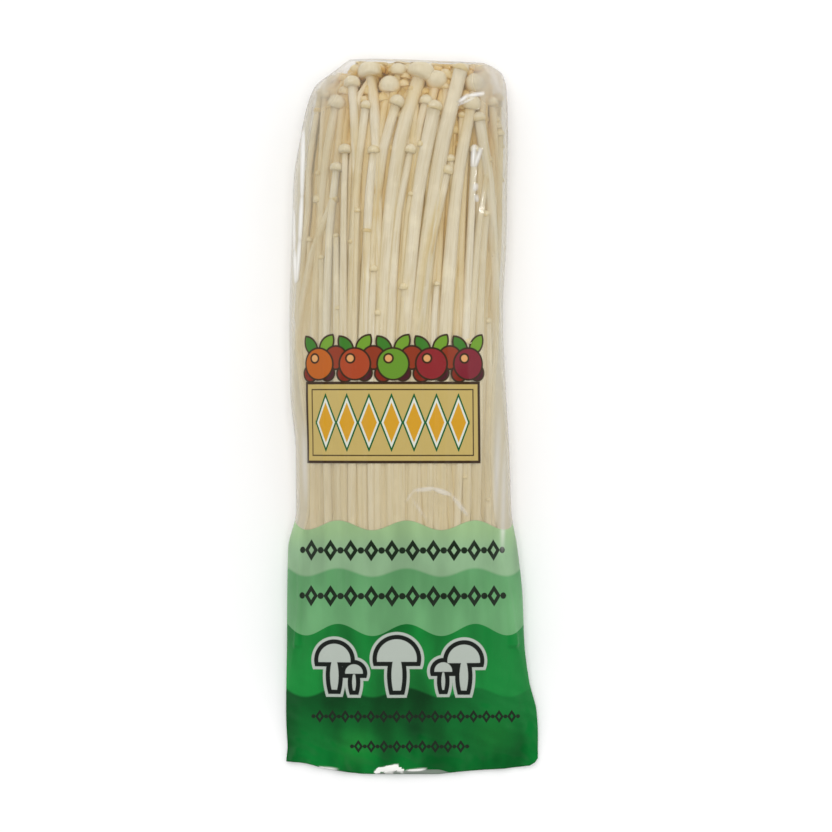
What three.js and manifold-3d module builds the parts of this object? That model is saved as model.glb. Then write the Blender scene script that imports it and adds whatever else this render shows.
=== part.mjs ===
// An enoki mushroom bunch in its clear film bag, lying on its back, in millimetres.
// +Y runs from the root end to the caps, +X to the right and +Z up off the table.
// The origin is the middle of the bag's outline, on the table.
import * as THREE from "three";
import { mergeVertices } from "three/addons/utils/BufferGeometryUtils.js";
import Module from "manifold-3d";

const wasm = await Module();
wasm.setup();

// ---- Driving dimensions -------------------------------------------------------------------

const FILM = 0.8; // wall of the bag's solid, standing in for film of about 0.05
const FILM_SIDE = 1.1; // the same wall where it turns up at the two sides
const FILM_GAP = 0.6; // air between the film and the mushrooms
const INNER = FILM + FILM_GAP;
const SIDE_POWER = 2.5; // roundness of a bag section: 2 is an ellipse
const TOP_POWER = 2.0;
const BACK_POWER = 5.0; // the back is pressed flat by the table
const BACK_PRESS = 1.06;

// The bag, from the bottom hem to the folded top end: y, left and right edge, then the heights
// of its underside, of its side edges and of its crown.
const BAG_STATIONS = [
  { y: -104.4, left: -13.4, right: 11.0, low: 0.6, edge: 1.2, top: 1.8 },
  { y: -103.3, left: -20.6, right: 22.5, low: 0.6, edge: 1.2, top: 1.9 },
  { y: -101.5, left: -29.5, right: 33.0, low: 0.6, edge: 1.3, top: 2.1 },
  { y: -99.0, left: -36.5, right: 36.9, low: 0.6, edge: 1.4, top: 2.6 },
  { y: -93.0, left: -36.7, right: 36.9, low: 0.6, edge: 1.8, top: 4.6 },
  { y: -86.0, left: -36.9, right: 36.5, low: 0.6, edge: 2.6, top: 8.0 },
  { y: -77.0, left: -36.8, right: 34.3, low: 0.6, edge: 3.8, top: 12.2 },
  { y: -66.0, left: -36.6, right: 32.9, low: 0.6, edge: 5.2, top: 16.0 },
  { y: -52.0, left: -36.5, right: 32.3, low: 0.6, edge: 6.6, top: 18.6 },
  { y: -38.0, left: -36.2, right: 30.8, low: 0.6, edge: 7.6, top: 20.8 },
  { y: -27.0, left: -33.8, right: 29.0, low: 0.6, edge: 8.3, top: 22.6 },
  { y: -10.0, left: -33.9, right: 28.4, low: 0.6, edge: 9.0, top: 24.8 },
  { y: 8.0, left: -35.5, right: 27.4, low: 0.6, edge: 9.6, top: 26.4 },
  { y: 30.0, left: -35.7, right: 26.5, low: 0.6, edge: 10.0, top: 27.2 },
  { y: 52.0, left: -35.0, right: 27.5, low: 0.6, edge: 10.0, top: 26.8 },
  { y: 70.0, left: -34.4, right: 27.8, low: 0.6, edge: 10.0, top: 25.6 },
  { y: 80.0, left: -32.8, right: 28.0, low: 0.6, edge: 10.0, top: 24.6 },
  { y: 90.0, left: -30.8, right: 27.9, low: 0.6, edge: 9.8, top: 23.2 },
  { y: 96.5, left: -28.3, right: 26.8, low: 0.8, edge: 9.6, top: 21.4 },
  { y: 100.8, left: -24.2, right: 25.6, low: 1.8, edge: 9.4, top: 19.0 },
  { y: 103.2, left: -20.0, right: 23.2, low: 3.4, edge: 9.2, top: 16.4 },
  { y: 104.4, left: -17.6, right: 20.4, low: 5.0, edge: 9.2, top: 13.6 },
];
const CAVITY_FROM = -95.0;
const CAVITY_TO = 103.3;
const BACK_SEAM = { x: 0, width: 9, from: -98, to: 90, thick: 1.0 };
const TOP_FLAP = { x: 1, width: 42, from: 82, to: 98.5, thick: 1.0 };
const VENT_HOLE = { x: -16, y: 24, radius: 3 };

const ROOT_Y = -66; // where the stems are counted as starting, inside the root block
const CORE_LEVELS = [-76, -73, -52, -27, 0, 30, 56, 62]; // y of the sections of the inner block
const CORE_ENDS = { first: 1.2, last: 5 }; // how far its two ends draw in
const CORE_DEPTH = [0.3, 2.2]; // under the mushrooms' outside, at the roots and by the free stems
const CORE_SIDE = 2; // and further in at the sides
const CORE_RIBS = 46;
const CORE_RIB_DEPTH = 0.7;
const STEM_SHOWS = 30; // how far below its passing point a front stem rises out of the core
const STEM_SUNK = 3.2; // and how deep in the core it starts

// The mushrooms that lie against the front film. Each row: the cap's place (x, y) and radius,
// the stem's radius, a point (x, y) that the stem passes, the x of its root, how deep it lies
// under the film, and how far its cap turns up to face the film (0 along the stem, 1 flat).
const FRONT = [
  [-6.4, 96.0, 3.5, 1.3, -8.7, 85.0, -8.1, 1.6, 0.2],
  [-4.3, 91.3, 2.3, 1.35, -8.4, 76.3, -11.6, 0.6, 0],
  [-19.3, 77.4, 2.0, 0.95, -19.7, 58.9, -19.4, 0, 0],
  [-11.0, 77.1, 1.85, 1.2, -12.5, 61.5, -13.3, 0, 0],
  [-21.8, 72.2, 1.9, 1.05, -23.8, 53.1, -23.8, 0, 0],
  [-13.3, 90.2, 1.7, 1.4, -15.9, 69.0, -15.9, 0.4, 0],
  [-15.8, 59.7, 0.95, 0.95, -16.2, 48.1, -17.4, 0, 0],
  [-13.0, 53.9, 1.45, 0.8, -13.9, 41.5, -14.5, 0, 0],
  [-11.0, 42.9, 1.45, 0.85, -11.5, 32.2, -11.6, 0, 0],
  [-21.9, 52.5, 0.9, 0.85, -21.8, 45.2, -21.5, 0.2, 0],
  [-17.5, 50.8, 0.9, 0.8, -17.4, 42.9, -18.3, 0.6, 0],
  [-26.2, 46.3, 0.95, 0.85, -26.1, 38.6, -26.1, 0.2, 0],
  [-27.0, 63.2, 1.75, 1.0, -26.4, 56.0, -26.7, 1.2, 0],
  [-22.6, 63.2, 1.6, 1.3, -29.6, 43.8, -31.2, 0.6, 0],
  [-29.6, 51.6, 1.0, 0.8, -29.9, 41.5, -29.3, 1.2, 0],
  [-27.0, 70.8, 1.0, 0.9, -27.8, 61.8, -28.4, 1.6, 0],
  [-29.0, 78.3, 1.1, 0.9, -30.2, 67.6, -30.4, 1.4, 0],
  [-25.2, 93.7, 1.6, 1.0, -26.0, 82.4, -27.3, 0.9, 0],
  [-21.8, 91.3, 2.55, 1.3, -24.9, 74.2, -27.8, 0.5, 0.3],
  [-17.3, 96.4, 2.45, 1.45, -16.5, 87.0, -18.0, 0.8, 0],
  [-12.2, 98.3, 3.4, 1.5, -11.0, 90.2, -11.0, 0.8, 0],
  [-3.9, 100.6, 2.5, 1.2, -6.1, 89.3, -7.0, 2.0, 0.2],
  [2.6, 97.8, 3.8, 1.95, -3.5, 78.9, -9.3, 0.2, 0],
  [7.1, 97.6, 3.3, 1.4, 4.6, 86.4, 0.9, 1.6, 0.9],
  [18.0, 96.6, 2.9, 1.3, 16.2, 86.4, 14.5, 1.4, 0.7],
  [14.0, 99.1, 2.4, 2.2, 7.8, 74.2, -2.0, 0, 0],
  [6.5, 89.9, 2.3, 1.85, 1.2, 60.9, -4.6, 0, 0],
  [4.1, 91.6, 2.05, 1.15, 1.7, 82.4, -1.4, 1.2, 0],
  [-0.4, 77.3, 1.95, 1.25, -4.3, 56.3, -5.5, 0.3, 0],
  [2.6, 78.9, 1.3, 0.9, 0.6, 69.0, -2.3, 1.0, 0],
  [10.0, 71.3, 1.95, 1.35, 4.1, 42.5, 0.0, 0, 0],
  [11.0, 74.8, 1.5, 1.0, 11.6, 66.1, 8.1, 1.4, 0],
  [18.1, 77.6, 1.5, 1.0, 17.4, 64.7, 12.5, 0.3, 0],
  [17.1, 90.9, 2.9, 1.7, 12.8, 66.1, 7.5, 0.1, 0.2],
  [19.3, 86.9, 2.0, 1.5, 22.6, 63.2, 21.8, 0.2, 0],
  [23.0, 91.4, 1.75, 1.0, 24.2, 74.8, 24.2, 0.8, 0],
  [-0.3, 64.4, 0.95, 0.8, -1.7, 56.0, -2.9, 0.8, 0],
  [-2.3, 37.6, 1.55, 0.85, -2.6, 27.5, -2.9, 0, 0],
  [7.2, 38.5, 1.0, 0.8, 6.4, 28.4, 5.2, 0.3, 0],
  [22.0, 28.0, 1.0, 0.8, 22.1, 19.7, 22.3, 0, 0],
  [15.9, 22.0, 1.4, 0.9, 15.9, 13.9, 15.7, 0, 0],
  [-21.4, 31.6, 1.05, 0.85, -21.2, 24.1, -20.9, 0, 0],
  [-9.8, 30.2, 1.2, 0.85, -9.9, 21.2, -9.9, 0, 0],
  [-20.4, 23.3, 1.0, 0.8, -20.3, 16.8, -19.7, 0, 0],
  [21.2, 58.9, 1.3, 1.4, 19.7, 40.0, 18.0, 0.3, 0],
  [22.3, 74.8, 1.3, 1.2, 19.1, 53.9, 14.5, 0.3, 0],
  [-27.3, 89.3, 1.3, 1.0, -29.3, 77.7, -30.2, 1.2, 0],
];

// The rest of the bunch is drawn by a seeded rule: a row against the back film, and rows in the
// middle with their caps at the top end. Each range is the least and the most.
const SEED = 2027;
const BACK_ROW = {
  count: 15,
  x: [-27, 23],
  lean: [-2.5, 2.5],
  capY: [62, 98],
  cap: [1.3, 2.6],
  stem: [0.95, 1.4],
  shows: 60,
};
const MIDDLE_ROWS = {
  shares: [0.36, 0.62], // of the height between the back and the front film
  count: 7,
  x: [-17, 19],
  lean: [-1, 1],
  startY: 50,
  capY: [95, 99.5],
  cap: [1.7, 2.7],
  stem: [1.0, 1.4],
};

// A cap's rings, in cap radii from its middle: the neck (the stem's own radius), the rim's lower
// and upper edge, and the crown.
const CAP_PROFILE = [
  { rise: -0.35 },
  { rise: -0.2, radius: 0.95 },
  { rise: 0.25, radius: 0.93 },
  { rise: 0.78, radius: 0.45 },
];
const SMALL_CAP = 1.6; // caps up to this radius have five sides, larger ones six
const LONG_NECK = 19; // a stem this long above its passing point is bent once more
const CAP_SUNK = 0.4; // share of its stem's depth that a cap keeps

const IVORY = "#d9ccaa";
const CLEAR_FILM = "#cfe3cf";

// ---- Small helpers ------------------------------------------------------------------------

// Random numbers from 0 to 1 that are the same on every run.
function seeded(seed) {
  let state = seed;
  return () => {
    state = (state * 48271) % 2147483647;
    return state / 2147483647;
  };
}

const lerp = THREE.MathUtils.lerp;
const clamp = THREE.MathUtils.clamp;

// A closed geometry as a manifold-3d solid.
function solid(geometry) {
  geometry.deleteAttribute("normal");
  geometry.deleteAttribute("uv");
  const merged = mergeVertices(geometry, 1e-4);
  return new wasm.Manifold(
    new wasm.Mesh({
      numProp: 3,
      vertProperties: new Float32Array(merged.attributes.position.array),
      triVerts: new Uint32Array(merged.index.array),
    }),
  );
}

// The biggest shell of a solid, which leaves out any pocket closed in between the stems.
function largest(made) {
  return made.decompose().reduce((a, b) => (b.volume() > a.volume() ? b : a));
}

// A manifold-3d solid as a geometry.
function geometryOf(made) {
  const mesh = made.getMesh();
  const geometry = new THREE.BufferGeometry();
  geometry.setAttribute("position", new THREE.BufferAttribute(mesh.vertProperties, 3));
  geometry.setIndex(new THREE.BufferAttribute(mesh.triVerts, 1));
  return geometry.toNonIndexed();
}

// A closed surface through rings of points, its two ends fanned out from their middles.
function loft(rings) {
  const size = rings[0].length;
  const points = rings.flat();
  const faces = [];
  for (let r = 0; r < rings.length - 1; r++) {
    for (let k = 0; k < size; k++) {
      const a = r * size + k;
      const b = r * size + ((k + 1) % size);
      faces.push(a, b, a + size, b, b + size, a + size);
    }
  }
  const last = (rings.length - 1) * size;
  for (let k = 0; k < size; k++) {
    const next = (k + 1) % size;
    faces.push(points.length, next, k, points.length + 1, last + k, last + next);
  }
  const geometry = new THREE.BufferGeometry();
  geometry.setFromPoints([...points, middle(rings[0]), middle(rings[rings.length - 1])]);
  geometry.setIndex(faces);
  return geometry;
}

function middle(ring) {
  const sum = ring.reduce((total, point) => total.add(point), new THREE.Vector3());
  return sum.divideScalar(ring.length);
}

// The loft as a solid that faces out whichever way its rings run.
function loftSolid(rings) {
  const made = solid(loft(rings));
  return made.volume() > 0 ? made : solid(loft([...rings].reverse()));
}

// ---- The bag's sections -------------------------------------------------------------------

// One value of the stations at y, by a cubic that never overshoots them.
function stationValue(key, y) {
  const s = BAG_STATIONS;
  const at = clamp(s.findIndex((row) => row.y > y) - 1, 0, s.length - 2);
  const i = y >= s[s.length - 1].y ? s.length - 2 : at;
  const slope = (k) => (s[k + 1][key] - s[k][key]) / (s[k + 1].y - s[k].y);
  const tangent = (k) => {
    if (k <= 0 || k >= s.length - 1) return slope(clamp(k, 0, s.length - 2));
    const before = slope(k - 1);
    const after = slope(k);
    return before * after > 0 ? (2 * before * after) / (before + after) : 0;
  };
  const span = s[i + 1].y - s[i].y;
  const t = clamp((y - s[i].y) / span, 0, 1);
  const a = s[i][key];
  const b = s[i + 1][key];
  const ta = tangent(i) * span;
  const tb = tangent(i + 1) * span;
  return a + t * (ta + t * (3 * (b - a) - 2 * ta - tb + t * (2 * (a - b) + ta + tb)));
}

// The bag's section at y, drawn in by an inset all round.
function section(y, inset, sideInset = inset) {
  const left = stationValue("left", y);
  const right = stationValue("right", y);
  return {
    centre: (left + right) / 2,
    half: (right - left) / 2 - sideInset,
    low: stationValue("low", y) + inset,
    edge: stationValue("edge", y),
    top: stationValue("top", y) - inset,
  };
}

function ring(y, inset, sideInset, points, ribs = 0) {
  const made = [];
  for (let k = 0; k < points; k++) {
    const rib = ribs * (k % 2);
    const s = section(y, inset + rib, sideInset + rib);
    const angle = (2 * Math.PI * k) / points;
    const across = Math.cos(angle);
    const up = Math.sin(angle);
    const x = s.centre + s.half * Math.sign(across) * Math.abs(across) ** (2 / SIDE_POWER);
    const crown = (s.top - s.edge) * Math.abs(up) ** (2 / TOP_POWER);
    const back = (s.edge - s.low) * Math.min(1, BACK_PRESS * Math.abs(up) ** (2 / BACK_POWER));
    made.push(new THREE.Vector3(x, y, up >= 0 ? s.edge + crown : s.edge - back));
  }
  return made;
}

// The point of the section at x, on the crown side or on the back, under an inset.
function under(x, y, inset, onBack = false) {
  const s = section(y, inset);
  const u = clamp((x - s.centre) / s.half, -0.98, 0.98);
  const up = Math.sqrt(1 - Math.abs(u) ** SIDE_POWER);
  const z = onBack
    ? s.edge - (s.edge - s.low) * Math.min(1, BACK_PRESS * up ** (2 / BACK_POWER))
    : s.edge + (s.top - s.edge) * up ** (2 / TOP_POWER);
  return new THREE.Vector3(s.centre + u * s.half, y, z);
}

// ---- The mushrooms ------------------------------------------------------------------------

// A ring of the stem or the cap, square to the way it points.
function roundRing(centre, along, radius, sides) {
  const side = new THREE.Vector3().crossVectors(along, new THREE.Vector3(0, 0, 1)).normalize();
  const up = new THREE.Vector3().crossVectors(side, along);
  return Array.from({ length: sides }, (_, k) => {
    const angle = (2 * Math.PI * k) / sides;
    return centre
      .clone()
      .addScaledVector(side, radius * Math.cos(angle))
      .addScaledVector(up, radius * Math.sin(angle));
  });
}

// One mushroom: a stem through the points and a small domed cap round the last of them.
function mushroom(points, stemRadius, capRadius, facing = 0) {
  const sides = capRadius > SMALL_CAP ? 6 : 5;
  const tip = points.length - 1;
  const rings = points.slice(0, tip).map((point, k) => {
    const along = points[k + 1].clone().sub(points[Math.max(k - 1, 0)]).normalize();
    return roundRing(point, along, stemRadius, sides);
  });
  const along = points[tip].clone().sub(points[tip - 1]).normalize();
  along.lerp(new THREE.Vector3(0, 0, 1), facing).normalize();
  for (const { rise, radius } of CAP_PROFILE) {
    const centre = points[tip].clone().addScaledVector(along, rise * capRadius);
    rings.push(roundRing(centre, along, radius ? radius * capRadius : stemRadius, sides));
  }
  return loftSolid(rings);
}

// A smooth sideways run from the root, past a point, to the cap.
function stemX(y, rootX, viaX, viaY, capX, capY) {
  const lower = (viaX - rootX) / (viaY - ROOT_Y);
  const upper = (capX - viaX) / (capY - viaY);
  const middle = (lower + upper) / 2;
  const hermite = (t, a, b, ta, tb) =>
    a + t * (ta + t * (3 * (b - a) - 2 * ta - tb + t * (2 * (a - b) + ta + tb)));
  if (y < viaY) {
    const span = viaY - ROOT_Y;
    return hermite((y - ROOT_Y) / span, rootX, viaX, 0, middle * span);
  }
  const span = capY - viaY;
  return hermite((y - viaY) / span, viaX, capX, middle * span, upper * span);
}

function frontMushrooms() {
  return FRONT.map(([capX, capY, cap, stem, viaX, viaY, rootX, depth, facing]) => {
    const start = Math.max(ROOT_Y, viaY - STEM_SHOWS);
    const bend = capY - viaY > LONG_NECK ? [(viaY + capY) / 2] : [];
    const points = [start, viaY, ...bend, capY].map((y) => {
      const x = stemX(y, rootX, viaX, viaY, capX, capY);
      const sunk = y === start ? STEM_SUNK : depth;
      const inset = y === capY ? cap + CAP_SUNK * depth : stem + sunk;
      return under(x, y, INNER + inset);
    });
    return mushroom(points, stem, cap, facing);
  });
}

// The evenly spaced places of a row, each with its cap's place and sizes drawn at random.
function drawRow({ count, x, lean, capY, cap, stem }, random) {
  return Array.from({ length: count }, (_, k) => ({
    x: lerp(...x, (k + 0.5) / count),
    lean: lerp(...lean, random()),
    capY: lerp(...capY, random()),
    cap: lerp(...cap, random()),
    stem: lerp(...stem, random()),
  }));
}

function backMushrooms(random) {
  return drawRow(BACK_ROW, random).map(({ x, lean, capY, cap, stem }) => {
    const points = [
      under(x, capY - BACK_ROW.shows, INNER + STEM_SUNK, true),
      under(x + lean / 2, capY - BACK_ROW.shows / 2, INNER + stem, true),
      under(x + lean, capY, INNER + cap, true),
    ];
    return mushroom(points, stem, cap);
  });
}

function middleMushrooms(random) {
  return MIDDLE_ROWS.shares.flatMap((share) =>
    drawRow(MIDDLE_ROWS, random).map(({ x, lean, capY, cap, stem }) => {
      const points = [MIDDLE_ROWS.startY, capY].map((y) => {
        const s = section(y, INNER + cap);
        return new THREE.Vector3(x + lean, y, lerp(s.low, s.top, share));
      });
      return mushroom(points, stem, cap);
    }),
  );
}

// The close-packed inner stems and the block of roots, ribbed where stems show through.
function core() {
  const rings = CORE_LEVELS.map((y, k) => {
    const thin = THREE.MathUtils.smoothstep(y, -10, 35);
    const first = k === 0 ? CORE_ENDS.first : 0;
    const last = k === CORE_LEVELS.length - 1 ? CORE_ENDS.last : 0;
    const inset = INNER + lerp(...CORE_DEPTH, thin) + first + last;
    return ring(y, inset, inset + CORE_SIDE, 2 * CORE_RIBS, CORE_RIB_DEPTH);
  });
  return loftSolid(rings);
}

function mushroomBunch() {
  const random = seeded(SEED);
  const pieces = [core(), ...frontMushrooms(), ...backMushrooms(random), ...middleMushrooms(random)];
  return largest(wasm.Manifold.union(pieces));
}

// ---- The bag ------------------------------------------------------------------------------

const BAG_POINTS = 30;

function bagBody(inset, sideInset, from, to) {
  const levels = BAG_STATIONS.map((row) => row.y).filter((y) => y > from + 0.6 && y < to - 0.6);
  return loftSolid([from, ...levels, to].map((y) => ring(y, inset, sideInset, BAG_POINTS)));
}

// A flat strip of doubled film against the back.
function strip({ x, width, from, to, thick }) {
  const box = new THREE.BoxGeometry(width, to - from, thick);
  box.translate(x, (from + to) / 2, thick / 2);
  return solid(box);
}

function filmBag() {
  const hem = BAG_STATIONS[0].y;
  const end = BAG_STATIONS[BAG_STATIONS.length - 1].y;
  const outside = bagBody(0, 0, hem, end);
  const inside = bagBody(FILM, FILM_SIDE, CAVITY_FROM, CAVITY_TO);
  const vent = new THREE.CylinderGeometry(VENT_HOLE.radius, VENT_HOLE.radius, 4 * FILM, 16);
  vent.rotateX(Math.PI / 2);
  vent.translate(VENT_HOLE.x, VENT_HOLE.y, 1);
  return outside
    .add(strip(BACK_SEAM))
    .add(strip(TOP_FLAP))
    .subtract(inside)
    .subtract(solid(vent));
}

// ---- The object ---------------------------------------------------------------------------

function part(name, made, material) {
  const mesh = new THREE.Mesh(geometryOf(made), material);
  mesh.name = name;
  return mesh;
}

const bunch = new THREE.Group();
bunch.add(
  part(
    "mushroom_bunch",
    mushroomBunch(),
    new THREE.MeshStandardMaterial({ color: IVORY, roughness: 0.55, metalness: 0 }),
  ),
);
bunch.add(
  part(
    "film_bag",
    filmBag(),
    new THREE.MeshStandardMaterial({
      color: CLEAR_FILM,
      roughness: 0.15,
      metalness: 0,
      transparent: true,
      opacity: 0.3,
    }),
  ),
);

export default bunch;
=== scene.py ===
"""An enoki mushroom bunch lying in its clear printed film bag, seen from straight above.

Lengths are millimetres until a mesh is written. +Y runs from the root end to the caps.
"""
from collections import namedtuple

import bmesh
import bpy
import numpy as np
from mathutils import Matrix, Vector
from mathutils.bvhtree import BVHTree


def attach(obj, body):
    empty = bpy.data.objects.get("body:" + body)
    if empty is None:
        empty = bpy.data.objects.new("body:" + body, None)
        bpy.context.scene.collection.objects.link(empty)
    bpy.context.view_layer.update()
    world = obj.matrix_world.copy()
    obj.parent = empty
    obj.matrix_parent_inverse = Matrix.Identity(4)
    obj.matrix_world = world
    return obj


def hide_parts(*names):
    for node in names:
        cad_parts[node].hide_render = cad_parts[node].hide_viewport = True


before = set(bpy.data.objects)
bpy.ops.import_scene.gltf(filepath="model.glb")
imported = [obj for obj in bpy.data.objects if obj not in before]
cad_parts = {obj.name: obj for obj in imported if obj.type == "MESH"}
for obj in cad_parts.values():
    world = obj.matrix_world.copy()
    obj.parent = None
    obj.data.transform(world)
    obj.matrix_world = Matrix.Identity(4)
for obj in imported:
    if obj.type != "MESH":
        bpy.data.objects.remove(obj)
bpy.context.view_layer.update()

MM = 0.001
BODY = "root"

# ---- The bag's form ------------------------------------------------------------------------

SIDE_POWER = 2.5  # roundness of a bag section: 2 is an ellipse
BACK_POWER = 5.0  # the back is pressed flat by the table
BACK_PRESS = 1.06
MOST_ACROSS = 0.98  # the mushrooms stay within this share of a section's half width

# From the bottom hem to the folded top end: y, left and right edge, and the heights of the
# underside, of the side edges and of the crown.
BAG_STATIONS = np.array([
    (-104.4, -36.9, 36.9, 0.6, 1.0, 1.5),
    (-99.0, -36.5, 36.9, 0.6, 1.3, 2.4),
    (-93.0, -36.7, 36.9, 0.6, 1.8, 4.6),
    (-86.0, -36.9, 36.5, 0.6, 2.6, 8.0),
    (-77.0, -36.8, 34.3, 0.6, 3.8, 12.2),
    (-66.0, -36.6, 32.9, 0.6, 5.2, 16.0),
    (-52.0, -36.5, 32.3, 0.6, 6.6, 18.6),
    (-38.0, -36.2, 30.8, 0.6, 7.6, 20.8),
    (-27.0, -33.8, 29.0, 0.6, 8.3, 22.6),
    (-10.0, -33.9, 28.4, 0.6, 9.0, 24.8),
    (8.0, -35.5, 27.4, 0.6, 9.6, 26.4),
    (30.0, -35.7, 26.5, 0.6, 10.0, 27.2),
    (52.0, -35.0, 27.5, 0.6, 10.0, 26.8),
    (70.0, -34.4, 27.8, 0.6, 10.0, 25.6),
    (80.0, -32.8, 28.0, 0.6, 10.0, 24.6),
    (90.0, -30.8, 27.9, 0.6, 9.8, 23.2),
    (96.5, -28.3, 27.5, 0.8, 9.6, 21.4),
    (100.8, -23.0, 26.4, 1.8, 9.4, 19.0),
    (103.2, -19.9, 23.6, 3.4, 9.2, 16.4),
    (104.4, -18.2, 21.0, 5.0, 9.2, 13.6),
])
LEFT, RIGHT, LOW, EDGE, TOP = 1, 2, 3, 4, 5
HEM_Y = -104.4
# The bottom edge from left to right: its corners lie higher than its middle.
HEM_EDGE = np.array([
    (-36.9, -100.7), (-33.0, -101.0), (-30.0, -101.5), (-25.5, -102.8), (-20.0, -103.7),
    (-15.0, -104.3), (-9.0, -104.4), (8.0, -104.4), (13.6, -103.7), (20.0, -103.2),
    (27.0, -102.8), (32.0, -102.2), (34.6, -101.9), (36.0, -101.0), (36.9, -99.8),
])
HEM_BOW_FROM = -88.0
END_Y = 104.4
END_TILT = 1.0  # the folded end lies this much lower at its right than at its left


def smooth(value, start, end):
    t = np.clip((value - start) / (end - start), 0, 1)
    return t * t * (3 - 2 * t)


def hermite(t, a, b, ta, tb):
    """From a to b as t goes from 0 to 1, leaving and arriving at the slopes given."""
    return a + t * (ta + t * (3 * (b - a) - 2 * ta - tb + t * (2 * (a - b) + ta + tb)))


def station(column, y):
    """One value of the stations at y, by a cubic that never overshoots them."""
    at = BAG_STATIONS[:, 0]
    values = BAG_STATIONS[:, column]
    slopes = np.diff(values) / np.diff(at)
    before, after = slopes[:-1], slopes[1:]
    same_way = before * after > 0
    total = np.where(same_way, before + after, 1)
    tangents = np.where(same_way, 2 * before * after / total, 0)
    tangents = np.concatenate([slopes[:1], tangents, slopes[-1:]])
    y = np.clip(y, at[0], at[-1])
    i = np.clip(np.searchsorted(at, y, side="right") - 1, 0, len(at) - 2)
    span = at[i + 1] - at[i]
    t = (y - at[i]) / span
    return hermite(t, values[i], values[i + 1], tangents[i] * span, tangents[i + 1] * span)


def end_drop(x):
    return END_TILT * smooth(x, -14, 22)


def section(y, inset=0.0):
    """The bag's section at y, drawn in by an inset all round: its middle and half width, and the
    heights of its underside, of its side edges and of its crown."""
    left, right = station(LEFT, y), station(RIGHT, y)
    centre, half = (left + right) / 2, (right - left) / 2 - inset
    return centre, half, station(LOW, y) + inset, station(EDGE, y), station(TOP, y) - inset


def crown_z(s, edge, top):
    return edge + (top - edge) * np.sqrt(np.maximum(1 - np.abs(s) ** SIDE_POWER, 0))


def back_z(s, edge, low):
    rise = np.maximum(1 - np.abs(s) ** SIDE_POWER, 0) ** (1 / BACK_POWER)
    return edge - (edge - low) * np.minimum(1, BACK_PRESS * rise)


def under(x, y, inset, on_back=False):
    """The points under the crown, or over the back, an inset inside the film."""
    centre, half, low, edge, top = section(y, inset)
    s = np.clip((x - centre) / half, -MOST_ACROSS, MOST_ACROSS)
    z = back_z(s, edge, low) if on_back else crown_z(s, edge, top)
    return np.stack([centre + s * half, y, z], axis=-1)


# ---- The mushrooms' places ------------------------------------------------------------------

GAP = 0.3  # air between the film and the mushrooms
ROOT_Y = -66.0  # where the stems leave the root block
CAP_Y_MOST = 104.3  # no cap is placed past this
END_WALL_Y = 104.0  # nothing passes this: the last caps lie pressed against the folded end
END_SOFT = 1.0  # and this far before it they start to give way

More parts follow.
